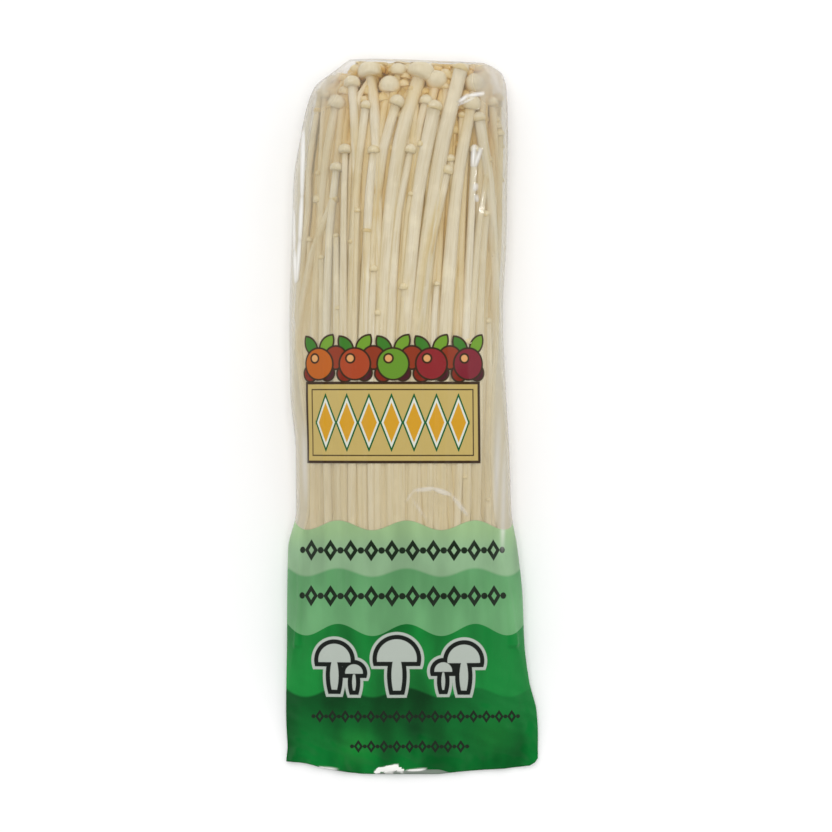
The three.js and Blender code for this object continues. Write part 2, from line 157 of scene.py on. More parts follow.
# The mushrooms that lie against the front film. Each row: the cap's place (x, y) and radius,
# the stem's radius, a point (x, y) that the stem passes, the x of its root, how deep it lies
# under the film, and how far its cap turns up to face the film (0 along the stem, 1 flat).
FRONT = [
    (-6.4, 96.0, 3.5, 1.3, -8.7, 85.0, -8.1, 1.6, 0.2),
    (-4.3, 91.3, 2.3, 1.35, -8.4, 76.3, -11.6, 0.6, 0),
    (-19.3, 77.4, 2.0, 0.95, -19.7, 58.9, -19.4, 0, 0),
    (-11.0, 77.1, 1.85, 1.2, -12.5, 61.5, -13.3, 0, 0),
    (-21.8, 72.2, 1.9, 1.05, -23.8, 53.1, -23.8, 0, 0),
    (-13.3, 90.2, 1.7, 1.4, -15.9, 69.0, -15.9, 0.4, 0),
    (-15.8, 59.7, 0.95, 0.95, -16.2, 48.1, -17.4, 0, 0),
    (-13.0, 53.9, 1.45, 0.8, -13.9, 41.5, -14.5, 0, 0),
    (-11.0, 42.9, 1.45, 0.85, -11.5, 32.2, -11.6, 0, 0),
    (-21.9, 52.5, 0.9, 0.85, -21.8, 45.2, -21.5, 0.2, 0),
    (-17.5, 50.8, 0.9, 0.8, -17.4, 42.9, -18.3, 0.6, 0),
    (-26.2, 46.3, 0.95, 0.85, -26.1, 38.6, -26.1, 0.2, 0),
    (-27.0, 63.2, 1.75, 1.0, -26.4, 56.0, -26.7, 1.2, 0),
    (-22.6, 63.2, 1.6, 1.3, -29.6, 43.8, -31.2, 0.3, 0),
    (-29.6, 51.6, 1.0, 0.8, -29.9, 41.5, -29.3, 1.2, 0),
    (-27.0, 70.8, 1.0, 0.9, -27.8, 61.8, -28.4, 1.6, 0),
    (-29.0, 78.3, 1.1, 0.9, -30.2, 67.6, -30.4, 1.4, 0),
    (-25.2, 93.7, 1.6, 1.0, -26.0, 82.4, -27.3, 0.9, 0),
    (-21.8, 91.3, 2.55, 1.3, -24.9, 74.2, -27.8, 0.5, 0.3),
    (-17.3, 96.9, 2.45, 1.45, -16.5, 87.0, -18.0, 0.8, 0),
    (-12.2, 100.2, 3.5, 1.5, -11.0, 90.2, -11.0, 0.8, 0),
    (-3.9, 100.6, 2.5, 1.2, -6.1, 89.3, -7.0, 2.0, 0.2),
    (2.6, 99.8, 3.9, 1.95, -3.5, 78.9, -9.3, 0.2, 0),
    (7.1, 97.8, 3.3, 1.4, 4.6, 86.4, 0.9, 1.6, 0.9),
    (18.0, 97.0, 2.9, 1.3, 16.2, 86.4, 14.5, 1.4, 0.7),
    (14.2, 101.3, 2.5, 2.2, 7.8, 74.2, -2.0, 0, 0),
    (6.5, 89.9, 2.3, 1.85, 1.2, 60.9, -4.6, 0, 0),
    (4.1, 91.6, 2.05, 1.15, 1.7, 82.4, -1.4, 1.2, 0),
    (-0.4, 77.3, 1.95, 1.25, -4.3, 56.3, -5.5, 0.3, 0),
    (2.6, 78.9, 1.3, 0.9, 0.6, 69.0, -2.3, 1.0, 0),
    (10.0, 71.3, 1.95, 1.35, 4.1, 42.5, 0.0, 0, 0),
    (11.0, 74.8, 1.5, 1.0, 11.6, 66.1, 8.1, 1.4, 0),
    (18.1, 77.6, 1.5, 1.0, 17.4, 64.7, 12.5, 0.3, 0),
    (17.1, 90.9, 2.9, 1.7, 12.8, 66.1, 7.5, 0.1, 0.2),
    (19.3, 86.9, 2.0, 1.5, 22.6, 63.2, 21.8, 0.2, 0),
    (23.2, 91.6, 1.75, 1.0, 24.4, 74.8, 24.4, 0.8, 0),
    (-0.3, 64.4, 0.95, 0.8, -1.7, 56.0, -2.9, 0.8, 0),
    (-2.3, 37.6, 1.55, 0.85, -2.6, 27.5, -2.9, 0, 0),
    (7.2, 38.5, 1.0, 0.8, 6.4, 28.4, 5.2, 0.3, 0),
    (22.1, 28.0, 1.0, 0.8, 22.2, 19.7, 22.3, 0, 0),
    (15.9, 22.0, 1.4, 0.9, 15.9, 13.9, 15.7, 0, 0),
    (-21.4, 31.6, 1.05, 0.85, -21.2, 24.1, -20.9, 0, 0),
    (-9.8, 30.2, 1.2, 0.85, -9.9, 21.2, -9.9, 0, 0),
    (-20.4, 23.3, 1.0, 0.8, -20.3, 16.8, -19.7, 0, 0),
    (21.2, 58.9, 1.3, 1.4, 19.7, 40.0, 18.0, 0.3, 0),
    (22.3, 74.8, 1.3, 1.2, 19.1, 53.9, 14.5, 0.3, 0),
    (-27.3, 89.3, 1.3, 1.0, -29.3, 77.7, -30.2, 1.2, 0),
    (15.4, -17.1, 0.8, 0.7, 15.5, -24.0, 15.6, 0, 0),
    (22.0, -23.8, 0.7, 0.7, 22.0, -29.0, 22.0, 0, 0),
]
FRONT_LOWER_DEPTHS = (0.0, 0.4, 0.15, 0.6)  # the crowded lower stems lie over and under one another
LOWER_PRESS = 0.45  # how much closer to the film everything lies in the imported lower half
PRESS_ENDS = (8.0, 60.0)  # from this y up the stems loosen, until they are fully loose

# The empty film beside the bunch: y, and its width at the left and at the right.
SIDE_AIR = np.array([
    (-66.0, 2.6, 2.6), (-40.0, 4.2, 4.8), (-27.0, 4.4, 5.8), (-10.0, 4.7, 6.2), (6.0, 4.4, 4.8),
    (28.0, 1.6, 1.8), (45.0, 2.4, 1.4), (60.0, 3.6, 1.4), (80.0, 3.0, 1.4), (98.0, 1.4, 0.8),
    (104.4, 1.2, 0.6),
])


def bunch_sides(y, inward=0.0):
    """The x of the bunch's left and right side at y, or a little further inward."""
    at, left_air, right_air = SIDE_AIR.T
    left = station(LEFT, y) + np.interp(y, at, left_air) + inward
    right = station(RIGHT, y) - np.interp(y, at, right_air) - inward
    return left, right


# The other mushrooms stand in rows behind these, by a seeded rule: how many, how far in from the
# bunch's sides, how deep under the film, and the ranges of their caps and stems.
ROWS = {
    "front_filling": dict(
        count=84, inward=0.0, depth=(1.2, 3.0), cap_y=(66, 101), cap=(1.1, 2.3),
        stem=(0.8, 1.45), lean=3.0, on_back=False,
    ),
    "second": dict(
        count=56, inward=1.0, depth=(1.8, 3.4), cap_y=(84, 104), cap=(1.6, 3.0),
        stem=(1.1, 1.8), lean=4.5, on_back=False,
    ),
    "third": dict(
        count=36, inward=2.0, depth=(4.8, 7.4), cap_y=(92, 104), cap=(1.8, 3.2),
        stem=(1.1, 1.7), lean=2.0, on_back=False,
    ),
    "back": dict(
        count=44, inward=0.5, depth=(0.0, 0.8), cap_y=(55, 103), cap=(1.2, 2.6),
        stem=(0.9, 1.4), lean=2.5, on_back=True,
    ),
    "second_back": dict(
        count=32, inward=1.5, depth=(2.8, 4.6), cap_y=(78, 103), cap=(1.5, 3.0),
        stem=(1.0, 1.6), lean=2.0, on_back=True,
    ),
    "end_back": dict(
        count=18, inward=4.5, depth=(0.6, 2.6), cap_y=(99, 103), cap=(2.0, 2.8),
        stem=(1.1, 1.5), lean=2.0, on_back=True,
    ),
    "end": dict(
        count=40, inward=1.5, depth=(7.0, 14.0), cap_y=(97, 104), cap=(2.0, 3.2),
        stem=(1.1, 1.6), lean=2.0, on_back=False,
    ),
}
# The mushrooms stacked one over another along each side.
SIDE_STACK = dict(count=9, cap_y=(58, 99), cap=(1.1, 1.9), stem=(0.95, 1.3), inward=1.0)
SEED = 4711


def seeded(seed):
    """Random numbers from 0 to 1 that are the same on every run."""
    state = seed
    while True:
        state = (state * 48271) % 2147483647
        yield state / 2147483647


def between(draw, least, most):
    return least + (most - least) * next(draw)


def stem_x(y, root_x, via_x, via_y, cap_x, cap_y):
    """A smooth sideways run from the root, past a point, to the cap."""
    lower = (via_x - root_x) / (via_y - ROOT_Y)
    upper = (cap_x - via_x) / (cap_y - via_y)
    middle = (lower + upper) / 2
    below, above = via_y - ROOT_Y, cap_y - via_y
    first = hermite((y - ROOT_Y) / below, root_x, via_x, 0, middle * below)
    second = hermite((y - via_y) / above, via_x, cap_x, middle * above, upper * above)
    return np.where(y < via_y, first, second)


# ---- Modelling tools ------------------------------------------------------------------------

MOST_CUTS = 100  # one subdivision makes no more cuts than this, so a longer rod takes two
SECOND_PARTS = 20
CAP_CUT = -0.32  # where the cap's ball ends below, in cap radii
CAP_UNDERSIDE = ((0.95, -0.1), (0.85, -0.07), (0.62, -0.03), (0.8, -0.1))  # each ring: shrink, rise
JUST = 0.01  # tells one ring of a template from the next


def start_piece():
    """Nothing selected, so that the next operator acts on the new piece alone."""
    if bpy.context.mode != "OBJECT":
        bpy.ops.object.mode_set(mode="OBJECT")
    bpy.ops.object.select_all(action="DESELECT")


def select_where(piece, test):
    """In edit mode, selects the vertices whose place passes the test."""
    shape = bmesh.from_edit_mesh(piece.data)
    shape.select_mode = {"VERT"}
    for vertex in shape.verts:
        vertex.select = bool(test(vertex.co))
    shape.select_flush_mode()
    bmesh.update_edit_mesh(piece.data)


def in_order(faces):
    """The faces in an order that is the same on every run, each from its lowest vertex on."""
    starts = [face.index(min(face)) for face in faces]
    return sorted(face[start:] + face[:start] for face, start in zip(faces, starts))


def arrays_of(piece):
    """A template's points and faces, and then the template itself is removed."""
    mesh = piece.data
    points = np.empty(len(mesh.vertices) * 3)
    mesh.vertices.foreach_get("co", points)
    faces = in_order([list(polygon.vertices) for polygon in mesh.polygons])
    bpy.data.objects.remove(piece)
    bpy.data.meshes.remove(mesh)
    return points.reshape(-1, 3), faces


def model_rod(sides, rings):
    """A straight closed rod of radius 1 from z 0 to 1, with rings to bend it at."""
    start_piece()
    bpy.ops.mesh.primitive_cylinder_add(vertices=sides, radius=1, depth=1, location=(0, 0, 0.5))
    rod = bpy.context.object
    bpy.ops.object.transform_apply(location=True, rotation=True, scale=True)
    bpy.ops.object.mode_set(mode="EDIT")
    for parts in (rings,) if rings <= MOST_CUTS else (rings // SECOND_PARTS, SECOND_PARTS):
        shape = bmesh.from_edit_mesh(rod.data)
        shape.select_mode = {"EDGE"}
        for edge in shape.edges:
            a, b = edge.verts
            edge.select = abs(a.co.z - b.co.z) > JUST
        bmesh.update_edit_mesh(rod.data)
        bpy.ops.mesh.subdivide(number_cuts=parts - 1)
    bpy.ops.object.mode_set(mode="OBJECT")
    return arrays_of(rod)


def model_cap(sides, rings):
    """A domed cap of radius 1 on the z axis: dome, curled rim, gill side and neck."""
    start_piece()
    bpy.ops.mesh.primitive_uv_sphere_add(segments=sides, ring_count=rings, radius=1)
    cap = bpy.context.object
    bpy.ops.object.mode_set(mode="EDIT")
    select_where(cap, lambda at: at.z < CAP_CUT - JUST)
    bpy.ops.mesh.delete(type="VERT")
    rim = min(vertex.co.z for vertex in bmesh.from_edit_mesh(cap.data).verts)
    select_where(cap, lambda at: at.z < rim + JUST)
    for shrink, rise in CAP_UNDERSIDE:
        bpy.ops.mesh.extrude_edges_move(TRANSFORM_OT_translate={"value": (0, 0, rise)})
        bpy.ops.transform.resize(value=(shrink, shrink, 1), center_override=(0, 0, 0))
    bpy.ops.mesh.edge_face_add()
    bpy.ops.object.mode_set(mode="OBJECT")
    return arrays_of(cap)


GROOVE = 0.05  # how far a stem is out of round
SWELL = 0.09  # how far it swells and narrows along its length
CAP_LEAN = 0.14
CAP_OVAL = 0.035  # how far a cap is out of round
CAP_LOBES = 0.02
LOOSE_ENDS = (-10.0, 60.0)  # from packed at this y to loose at this one
PAINTED_SHADE_DEPTH = 10.0  # at this depth under the film the painted golden shade, standing in for the bunch's inner shadow, is full
END_SHADE_SOONER = 1.4  # and towards the folded end that painted shade comes full this much sooner
SHADE_REACH = 2.2  # flesh that faces other flesh within this distance gets painted golden shade
PACKED_SHADE_SHARE = 0.6  # the share of that painted shade where it is packed
OFF_SKIN = 0.05  # a look out from the flesh starts this far off it


class Bunch:
    """Mushrooms grown from a stem and a cap template, gathered into one mesh."""

    def __init__(self, stem, cap, rings):
        self.stem, self.stem_faces = stem
        self.cap, self.cap_faces = cap
        self.rings = rings
        self.points, self.faces, self.grown, self.is_cap, self.tone = [], [], [], [], []
        self.count = 0

    def add(self, points, faces, grown, is_cap, tone):
        self.faces += [[v + self.count for v in face] for face in faces]
        wall = END_WALL_Y - end_drop(points[:, 0])
        over = np.maximum(points[:, 1] - wall + END_SOFT, 0)
        pressed_in = wall - END_SOFT * np.exp(-over / END_SOFT)
        points[:, 1] = np.where(over > 0, pressed_in, points[:, 1])
        self.points.append(points)
        self.grown.append(grown)
        self.is_cap.append(np.full(len(points), float(is_cap)))
        self.tone.append(np.full(len(points), tone))
        self.count += len(points)

    def grow(self, path, radius, cap_radius, facing, draw):
        """One mushroom along the path, which has a point for each ring of the stem."""
        tone = next(draw)
        offset = np.array([between(draw, 0, 90) for _ in range(3)])
        along = np.gradient(path, axis=0)
        along /= np.linalg.norm(along, axis=1, keepdims=True)
        side = np.cross(along, (0, 0, 1))
        side /= np.linalg.norm(side, axis=1, keepdims=True)
        up = np.cross(side, along)
        ring = np.rint(self.stem[:, 2] * self.rings).astype(int)
        angle = np.arctan2(self.stem[:, 1], self.stem[:, 0])
        lobes = np.cos(3 * angle + 6 * tone) + 0.5 * np.cos(5 * angle + 9 * tone)
        swell = np.sin(7 * ring / self.rings + 12 * tone)
        reach = (radius[ring] * (1 + GROOVE * lobes) * (1 + SWELL * swell))[:, None]
        wide, high = (share[ring][:, None] for share in pressing(path[:, 1]))
        across = self.stem[:, :1] * reach * wide
        over = self.stem[:, 1:2] * reach * high
        points = path[ring] + side[ring] * across + up[ring] * over
        length = np.concatenate([[0], np.cumsum(np.linalg.norm(np.diff(path, axis=0), axis=1))])
        grown = np.concatenate([across, over, length[ring][:, None]], axis=1) + offset
        self.add(points, self.stem_faces, grown, False, tone)
        self.top(path[-1], along[-1], cap_radius, facing, draw, tone, offset)

    def top(self, centre, along, cap_radius, facing, draw, tone, offset):
        """The cap on the stem's end, a little out of round and of true."""
        lean = np.array([between(draw, -1, 1), 0, between(draw, -0.5, 1)]) * CAP_LEAN
        axis = along * (1 - facing) + np.array([0, 0, 1.0]) * facing + lean
        axis /= np.linalg.norm(axis)
        side = np.cross(axis, (0.3, 0, 1))
        side /= np.linalg.norm(side)
        up = np.cross(side, axis)
        wide = cap_radius * between(draw, 0.94, 1.08)
        tall = cap_radius * between(draw, 0.92, 1.02)
        angle = np.arctan2(self.cap[:, 1], self.cap[:, 0])
        oval, lobes = np.cos(2 * angle + 8 * tone), np.cos(5 * angle + 20 * tone)
        reach = wide * (1 + CAP_OVAL * oval + CAP_LOBES * lobes)[:, None]
        x, y, z = self.cap[:, :1] * reach, self.cap[:, 1:2] * reach, self.cap[:, 2:] * tall
        points = centre + side * x + up * y + axis * z
        self.add(points, self.cap_faces, np.concatenate([x, y, z], axis=1) + offset, True, tone)

    def finish(self, name, material):
        fields = (self.points, self.grown, self.is_cap, self.tone)
        points, grown, is_cap, tone = (np.concatenate(field) for field in fields)
        return write_flesh(name, points, self.faces, grown, is_cap, tone, material)


def write_piece(name, points, faces, material):
    """A smooth-shaded piece at the origin, from points in millimetres."""
    mesh = bpy.data.meshes.new(name)
    mesh.from_pydata((points * MM).tolist(), [], faces)
    mesh.shade_smooth()
    mesh.materials.append(material)
    piece = bpy.data.objects.new(name, mesh)
    bpy.context.collection.objects.link(piece)
    return piece


def gathered(pieces):
    """The points, in millimetres, and the faces of several pieces together."""
    points, faces = [], []
    for piece in pieces:
        first = len(points)
        points += [vertex.co / MM for vertex in piece.data.vertices]
        faces += [[v + first for v in polygon.vertices] for polygon in piece.data.polygons]
    return points, faces


def store(piece, name, kind, values):
    """A value for each vertex, which the piece's material reads."""
    attribute = piece.data.attributes.new(name, kind, "POINT")
    field = "vector" if kind == "FLOAT_VECTOR" else "value"
    attribute.data.foreach_set(field, np.ascontiguousarray(values, dtype=np.float32).ravel())


def write_flesh(name, points, faces, grown, is_cap, tone, material):
    """A piece of mushroom. Its material reads the place along and across each mushroom, what is
    cap, the mushroom's own tone, and how deep each point lies in the bunch, which it paints as golden
    shade."""
    piece = write_piece(name, points, faces, material)
    x, y, z = points.T
    centre, half, low, edge, top = section(y)
    s = np.clip((x - centre) / half, -1, 1)
    left, right = bunch_sides(y)
    from_end = (END_Y - y) * END_SHADE_SOONER
    from_film = np.minimum.reduce([crown_z(s, edge, top) - z, z - low, x - left, right - x, from_end])
    store(piece, "grown", "FLOAT_VECTOR", grown)
    store(piece, "cap", "FLOAT", is_cap)
    store(piece, "tone", "FLOAT", tone)
    store(piece, "depth", "FLOAT", np.clip(from_film / PAINTED_SHADE_DEPTH, 0, 1))
    return piece


def crevice_shading(piece, tree):
    """How closely each point faces other flesh, for painted shade in the gaps: 1 where they touch, 0
    with none in reach.
    """
    close = np.zeros(len(piece.data.vertices))
    for vertex in piece.data.vertices:
        start = vertex.co / MM + OFF_SKIN * vertex.normal
        distance = tree.ray_cast(start, vertex.normal, SHADE_REACH)[3]
        if distance is not None:
            close[vertex.index] = 1 - distance / SHADE_REACH
    y = np.array([vertex.co.y / MM for vertex in piece.data.vertices])
    return close * (PACKED_SHADE_SHARE + (1 - PACKED_SHADE_SHARE) * smooth(y, *LOOSE_ENDS))


# ---- Growing the bunch ----------------------------------------------------------------------

PRESSED = (0.86, 0.62)  # stems lie pressed: their height to radius where loose and where packed
WIDENED = (1.0, 1.4)  # and their half width to radius
ROOT_THINNING = 0.16  # how much thinner a stem is lower down
ROOT_SWELL = 0.25  # and how much thicker again where it joins the root block
ROOT_DIP = 1.6  # how far the stems dip into the root block where they end
ROOT_ENDS = (50.0, 66.0)  # how far below the middle the last two begin and end
FRONT_INWARD = 0.6  # the front mushrooms stay this far in from the bunch's sides
NECK = 4  # a stem sinks towards its cap's middle over this many cap radii
FULL_TURN = 6.28


def pressing(y):
    """How wide and how high a stem of radius 1 is, to each side, at y."""
    loose = smooth(y, *LOOSE_ENDS)
    return [packed + (free - packed) * loose for free, packed in (WIDENED, PRESSED)]


def stem_radii(ys, radius):
    """Enoki stems thin a little towards the root, and then swell where they join."""
    t = (ys - ROOT_Y) / (ys[-1] - ROOT_Y)
    thinning = ROOT_THINNING * (1 - smooth(t, 0.1, 0.7))
    return radius * (1 - thinning + ROOT_SWELL * smooth(-ys, *ROOT_ENDS))


def root_dip(y):
    return ROOT_DIP * smooth(-y, *ROOT_ENDS)


def grow_front(bunch, draw):
    for k, row in enumerate(FRONT):
        cap_x, cap_y, cap, radius, via_x, via_y, root_x, depth, facing = row
        tip_y = min(cap_y, CAP_Y_MOST - cap * (1 - facing))
        ys = np.linspace(ROOT_Y, tip_y, bunch.rings + 1)
        left, right = bunch_sides(ys, FRONT_INWARD)
        xs = np.clip(stem_x(ys, root_x, via_x, via_y, cap_x, cap_y), left, right)
        lower = FRONT_LOWER_DEPTHS[k % len(FRONT_LOWER_DEPTHS)] * smooth(-ys, -30, 10)
        near_cap = smooth(ys, tip_y - NECK * cap, tip_y)
        stem_inset, cap_inset = radius * pressing(ys)[1] + depth + lower, PRESSED[0] * cap + 0.4 * depth
        inset = stem_inset * (1 - near_cap) + cap_inset * near_cap + root_dip(ys)
        bunch.grow(under(xs, ys, GAP + inset), stem_radii(ys, radius), cap, facing, draw)


def grow_row(bunch, row, draw):
    """A row of mushrooms across the bunch, evenly spaced and then moved at random."""
    for k in range(row["count"]):
        share = (k + between(draw, 0.2, 0.8)) / row["count"]
        cap_y, cap = between(draw, *row["cap_y"]), between(draw, *row["cap"])
        depth, radius = between(draw, *row["depth"]), between(draw, *row["stem"])
        lean, wave = between(draw, -1, 1) * row["lean"], between(draw, 0, FULL_TURN)
        tip_y = min(cap_y, CAP_Y_MOST - 0.6 * cap)
        ys = np.linspace(ROOT_Y, tip_y, bunch.rings + 1)
        left, right = bunch_sides(ys, row["inward"])
        t = (ys - ROOT_Y) / (tip_y - ROOT_Y)
        xs = left + share * (right - left) + lean * smooth(t, 0.3, 1.0) + 0.8 * np.sin(4 * t + wave)
        near_cap = smooth(ys, tip_y - NECK * cap, tip_y)
        pressed = 1 - LOWER_PRESS * (1 - smooth(ys, *PRESS_ENDS))
        inset = depth * pressed + radius * pressing(ys)[1] * (1 - near_cap) + cap * near_cap
        path = under(xs, ys, GAP + inset + root_dip(ys), row["on_back"])
        bunch.grow(path, stem_radii(ys, radius), cap, between(draw, 0, 0.2), draw)


def grow_side(bunch, side, draw):
    """The stack along one side, 0 for the left and 1 for the right."""
    count = SIDE_STACK["count"]
    for k in range(count):
        share = (k + between(draw, 0.3, 0.7)) / count
        cap_y, cap = between(draw, *SIDE_STACK["cap_y"]), between(draw, *SIDE_STACK["cap"])
        radius, wave = between(draw, *SIDE_STACK["stem"]), between(draw, 0, FULL_TURN)
        ys = np.linspace(ROOT_Y, cap_y, bunch.rings + 1)
        t = (ys - ROOT_Y) / (cap_y - ROOT_Y)
        xs = bunch_sides(ys, radius + between(draw, 0, SIDE_STACK["inward"]))[side]
        back, front = under(xs, ys, GAP + radius, True), under(xs, ys, GAP + radius)
        at = (share + 0.05 * np.sin(5 * t + wave))[:, None]
        path = back + at * (front - back)
        bunch.grow(path, stem_radii(ys, radius), cap, 0, draw)


# ---- The film's form ------------------------------------------------------------------------

FILM_COLUMNS_FRONT = 150
FILM_COLUMNS_BACK = 50
FILM_ROWS = 400
END_ROWS = 10  # of these, the rows that close the folded top end
PRINT_MIDDLE_X = -0.3  # the print is centred here across the front
DRAPE_ROUNDS = 220
DRAPE_PULL = 0.0035  # the sink of each round, from the slight vacuum in the bag
DRAPE_SLACK = 0.4  # how far the film may stand above its nominal form
CLING = 0.12  # film to mushroom
AIR_REACH = 5  # columns and rows over which a gap between mushrooms counts as covered
AIR_FULL = 7.0  # at this height over the mushrooms the film looks fully hazy
BACK_PRINT_DROP = 3.0  # the bands sit lower on the back, so they stay hidden from the front
BACK_AIR = 0.5  # how hazy the back is
CLEARER_SIDES = 0.45  # how much less hazy the upright sides are
CLEARER_END = 0.8  # and how much less hazy the folded end is, but for its corners
CORNER_HAZE = 0.8  # where the film stands off at the folded corners
HAZE_ROUNDS = 8  # of softening the haze's edges
ABOVE_ALL = 60.0
NO_MUSHROOM_Z = -50.0
HEM_THICK = 0.12
BORDER_COLUMNS = 6  # over these the front goes over into the back

LOOSE_HEM = (70, 88)  # the film hangs ever looser from here to here, below the middle
# The folded corners: the x midway between them, and where they begin and are full, to each side of
# it and along.
HAZY_CORNERS = (-2.0, (12, 24), (82, 99))
LOOSE_CORNERS = (-3.0, (14, 24), (84, 100))

# Sharp creases in the film: from (x, y), to (x, y), half width, height, and how white each is
# painted, partly the film's stress-whitening and partly painted highlights where a crease catches
# the light. A negative height is a valley.
CREASES = [
    (-31.6, 84.0, -31.9, 63.8, 0.45, 0.7, 0.7),
    (-31.9, 64.5, -32.5, 51.0, 0.45, 0.65, 0.7),
    (-32.5, 52.0, -33.4, 39.5, 0.4, 0.6, 0.8),
    (-34.4, 61.0, -34.2, 48.5, 0.35, 0.5, 0.4),
    (-34.2, 49.0, -33.7, 39.0, 0.35, 0.5, 0.7),
    (13.3, 91.0, 16.4, 93.6, 0.5, 0.45, 0.9),
    (15.4, 93.0, 21.1, 94.1, 0.4, 0.45, 0.9),
    (12.9, 90.2, 18.0, 92.6, 0.3, 0.3, 0.6),
    (18.0, 79.2, 17.5, 72.3, 0.5, 0.45, 0.9),
    (20.0, 78.2, 18.1, 72.4, 0.5, 0.4, 0.8),
    (18.5, 67.8, 18.1, 65.6, 0.6, 0.15, 0.6),
    (18.4, 64.6, 18.9, 62.4, 0.5, 0.1, 0.5),
    (-22.6, 103.0, -29.6, 93.0, 0.8, 0.35, 0.1),
    (-19.0, 102.5, -24.0, 97.0, 0.7, -0.3, 0.1),
    (22.8, 102.5, 26.0, 93.5, 0.8, 0.3, 0.1),
    (20.5, 102.8, 23.5, 99.0, 0.6, -0.25, 0.1),
    (25.5, 4.0, 23.8, -32.0, 1.1, -0.5, 0.1),
    (27.0, -6.0, 26.2, -40.0, 0.9, 0.4, 0.1),
    (-31.5, 0.0, -30.8, -26.0, 0.9, 0.35, 0.1),
    (-2.2, -24.8, 0.6, -20.6, 0.5, 0.2, 0.2),
    (0.0, -21.0, 6.8, -20.2, 0.6, 0.25, 0.35),
    (6.0, -20.2, 11.8, -22.4, 0.6, 0.25, 0.35),
    (11.2, -22.0, 16.4, -28.6, 0.6, 0.25, 0.35),
    (-0.6, -22.4, 4.8, -30.4, 0.5, 0.2, 0.2),
    (25.5, -44.0, 23.0, -72.0, 1.6, 0.55, 0.0),
    (29.0, -50.0, 27.5, -78.0, 1.2, -0.5, 0.0),
    (20.0, -60.0, 22.5, -84.0, 1.4, -0.35, 0.0),
    (12.0, -42.0, 13.5, -80.0, 2.6, 0.6, 0.0),
    (-33.0, -38.0, -31.5, -70.0, 1.3, -0.5, 0.0),
    (-30.0, -58.0, -29.0, -86.0, 1.3, 0.4, 0.0),
    (-24.0, -80.0, -20.0, -96.0, 1.5, 0.6, 0.0),
    (-14.0, -84.0, -16.5, -98.0, 1.4, -0.5, 0.0),
    (-6.0, -82.0, -7.5, -99.0, 1.2, 0.45, 0.0),
    (3.0, -84.0, 1.5, -99.5, 1.3, -0.4, 0.0),
    (9.0, -80.0, 11.0, -98.0, 1.4, 0.5, 0.0),
    (17.0, -84.0, 20.0, -98.5, 1.4, -0.5, 0.0),
    (25.0, -82.0, 29.0, -97.0, 1.5, 0.6, 0.0),
    (31.5, -78.0, 34.0, -92.0, 1.2, -0.5, 0.0),
    (-10.8, -104.2, -9.0, -102.5, 0.35, 0.5, 0.9),
    (-9.4, -103.2, -4.2, -102.0, 0.4, 0.6, 0.95),
    (-6.6, -104.2, -4.6, -101.8, 0.4, 0.5, 0.9),
    (-4.9, -102.4, -2.4, -103.9, 0.35, 0.5, 0.85),
    (-8.2, -104.0, -5.6, -103.2, 0.4, 0.4, 0.8),
    (-1.8, -103.4, 4.5, -103.0, 0.3, 0.3, 0.3),
    (-27.5, -102.4, -21.5, -103.2, 0.3, 0.3, 0.3),
]
HEM_CREASES = 18  # short ones across the clear strip at the hem
RIPPLE_WAVES = 9  # plain waves that add up to one field of ripples

# The lower end of the green ink, from left to right: beyond it the hem is clear.
INK_EDGE = np.array([
    (-37.0, -106.0), (-32.0, -104.0), (-30.5, -102.0), (-28.4, -102.1), (-24.4, -102.9),
    (-20.3, -103.5), (-18.3, -104.0), (-15.0, -105.0), (-12.2, -104.5), (-10.0, -104.2),
    (-8.1, -103.9), (-6.0, -103.4), (2.0, -103.4), (4.5, -103.1), (8.1, -103.1),
    (10.1, -103.7), (12.2, -104.4), (14.0, -105.5), (37.0, -106.0),
])


def crease_field(x, y, creases):
    """The height that the creases add at each point, and how white they are painted: partly
    stress-whitening, partly painted highlights.
    """
    height, crease_white_and_glint = np.zeros_like(x), np.zeros_like(x)
    for x0, y0, x1, y1, width, rise, whitening_and_glint in creases:
        run = np.array([x1 - x0, y1 - y0])
        length = np.hypot(*run)
        run = run / length
        t = ((x - x0) * run[0] + (y - y0) * run[1]) / length
        off = (x - x0) * run[1] - (y - y0) * run[0]
        taper = np.sin(np.pi * np.clip(t, 0, 1)) ** 0.6
        profile = taper * np.exp(-((off / width) ** 2))
        height += rise * profile
        crease_white_and_glint = np.maximum(crease_white_and_glint, whitening_and_glint * profile)
    return height, crease_white_and_glint


def hem_creases(draw):
    """Short crumples of the hem, fanned about the upright."""
    made = []
    for k in range(HEM_CREASES):
        x = -33 + 66 * (k + next(draw)) / HEM_CREASES
        y = between(draw, -99.5, -103.2)
        run, tilt = between(draw, 1.5, 4.5), between(draw, -1.2, 1.2)
        end = (x + run * np.sin(tilt), y + run * np.cos(tilt))
        made.append((x, y, *end, between(draw, 0.3, 0.7), between(draw, -0.4, 0.5), 0.0))
    return made


def ripples(x, y, draw, length):
    """Smooth, uneven waves of about the length given, mostly between -1 and 1."""
    total = np.zeros_like(x)
    for _ in range(RIPPLE_WAVES):
        turn, phase = between(draw, 0, np.pi), between(draw, 0, 2 * np.pi)
        pace = 2 * np.pi / (length * between(draw, 0.6, 1.7))
        total += np.sin(pace * (x * np.cos(turn) + y * np.sin(turn)) + phase)
    return total / RIPPLE_WAVES ** 0.5 / 1.6


def hem_y(x):
    """The bowed bottom edge."""
    return np.interp(x, *HEM_EDGE.T)


# The tube's columns start at the middle of the back, where the real seam is, and run round by
# the left side, the front and the right side.
HALF_BACK = FILM_COLUMNS_BACK // 2
FRONT_COLUMNS = slice(HALF_BACK, HALF_BACK + FILM_COLUMNS_FRONT + 1)


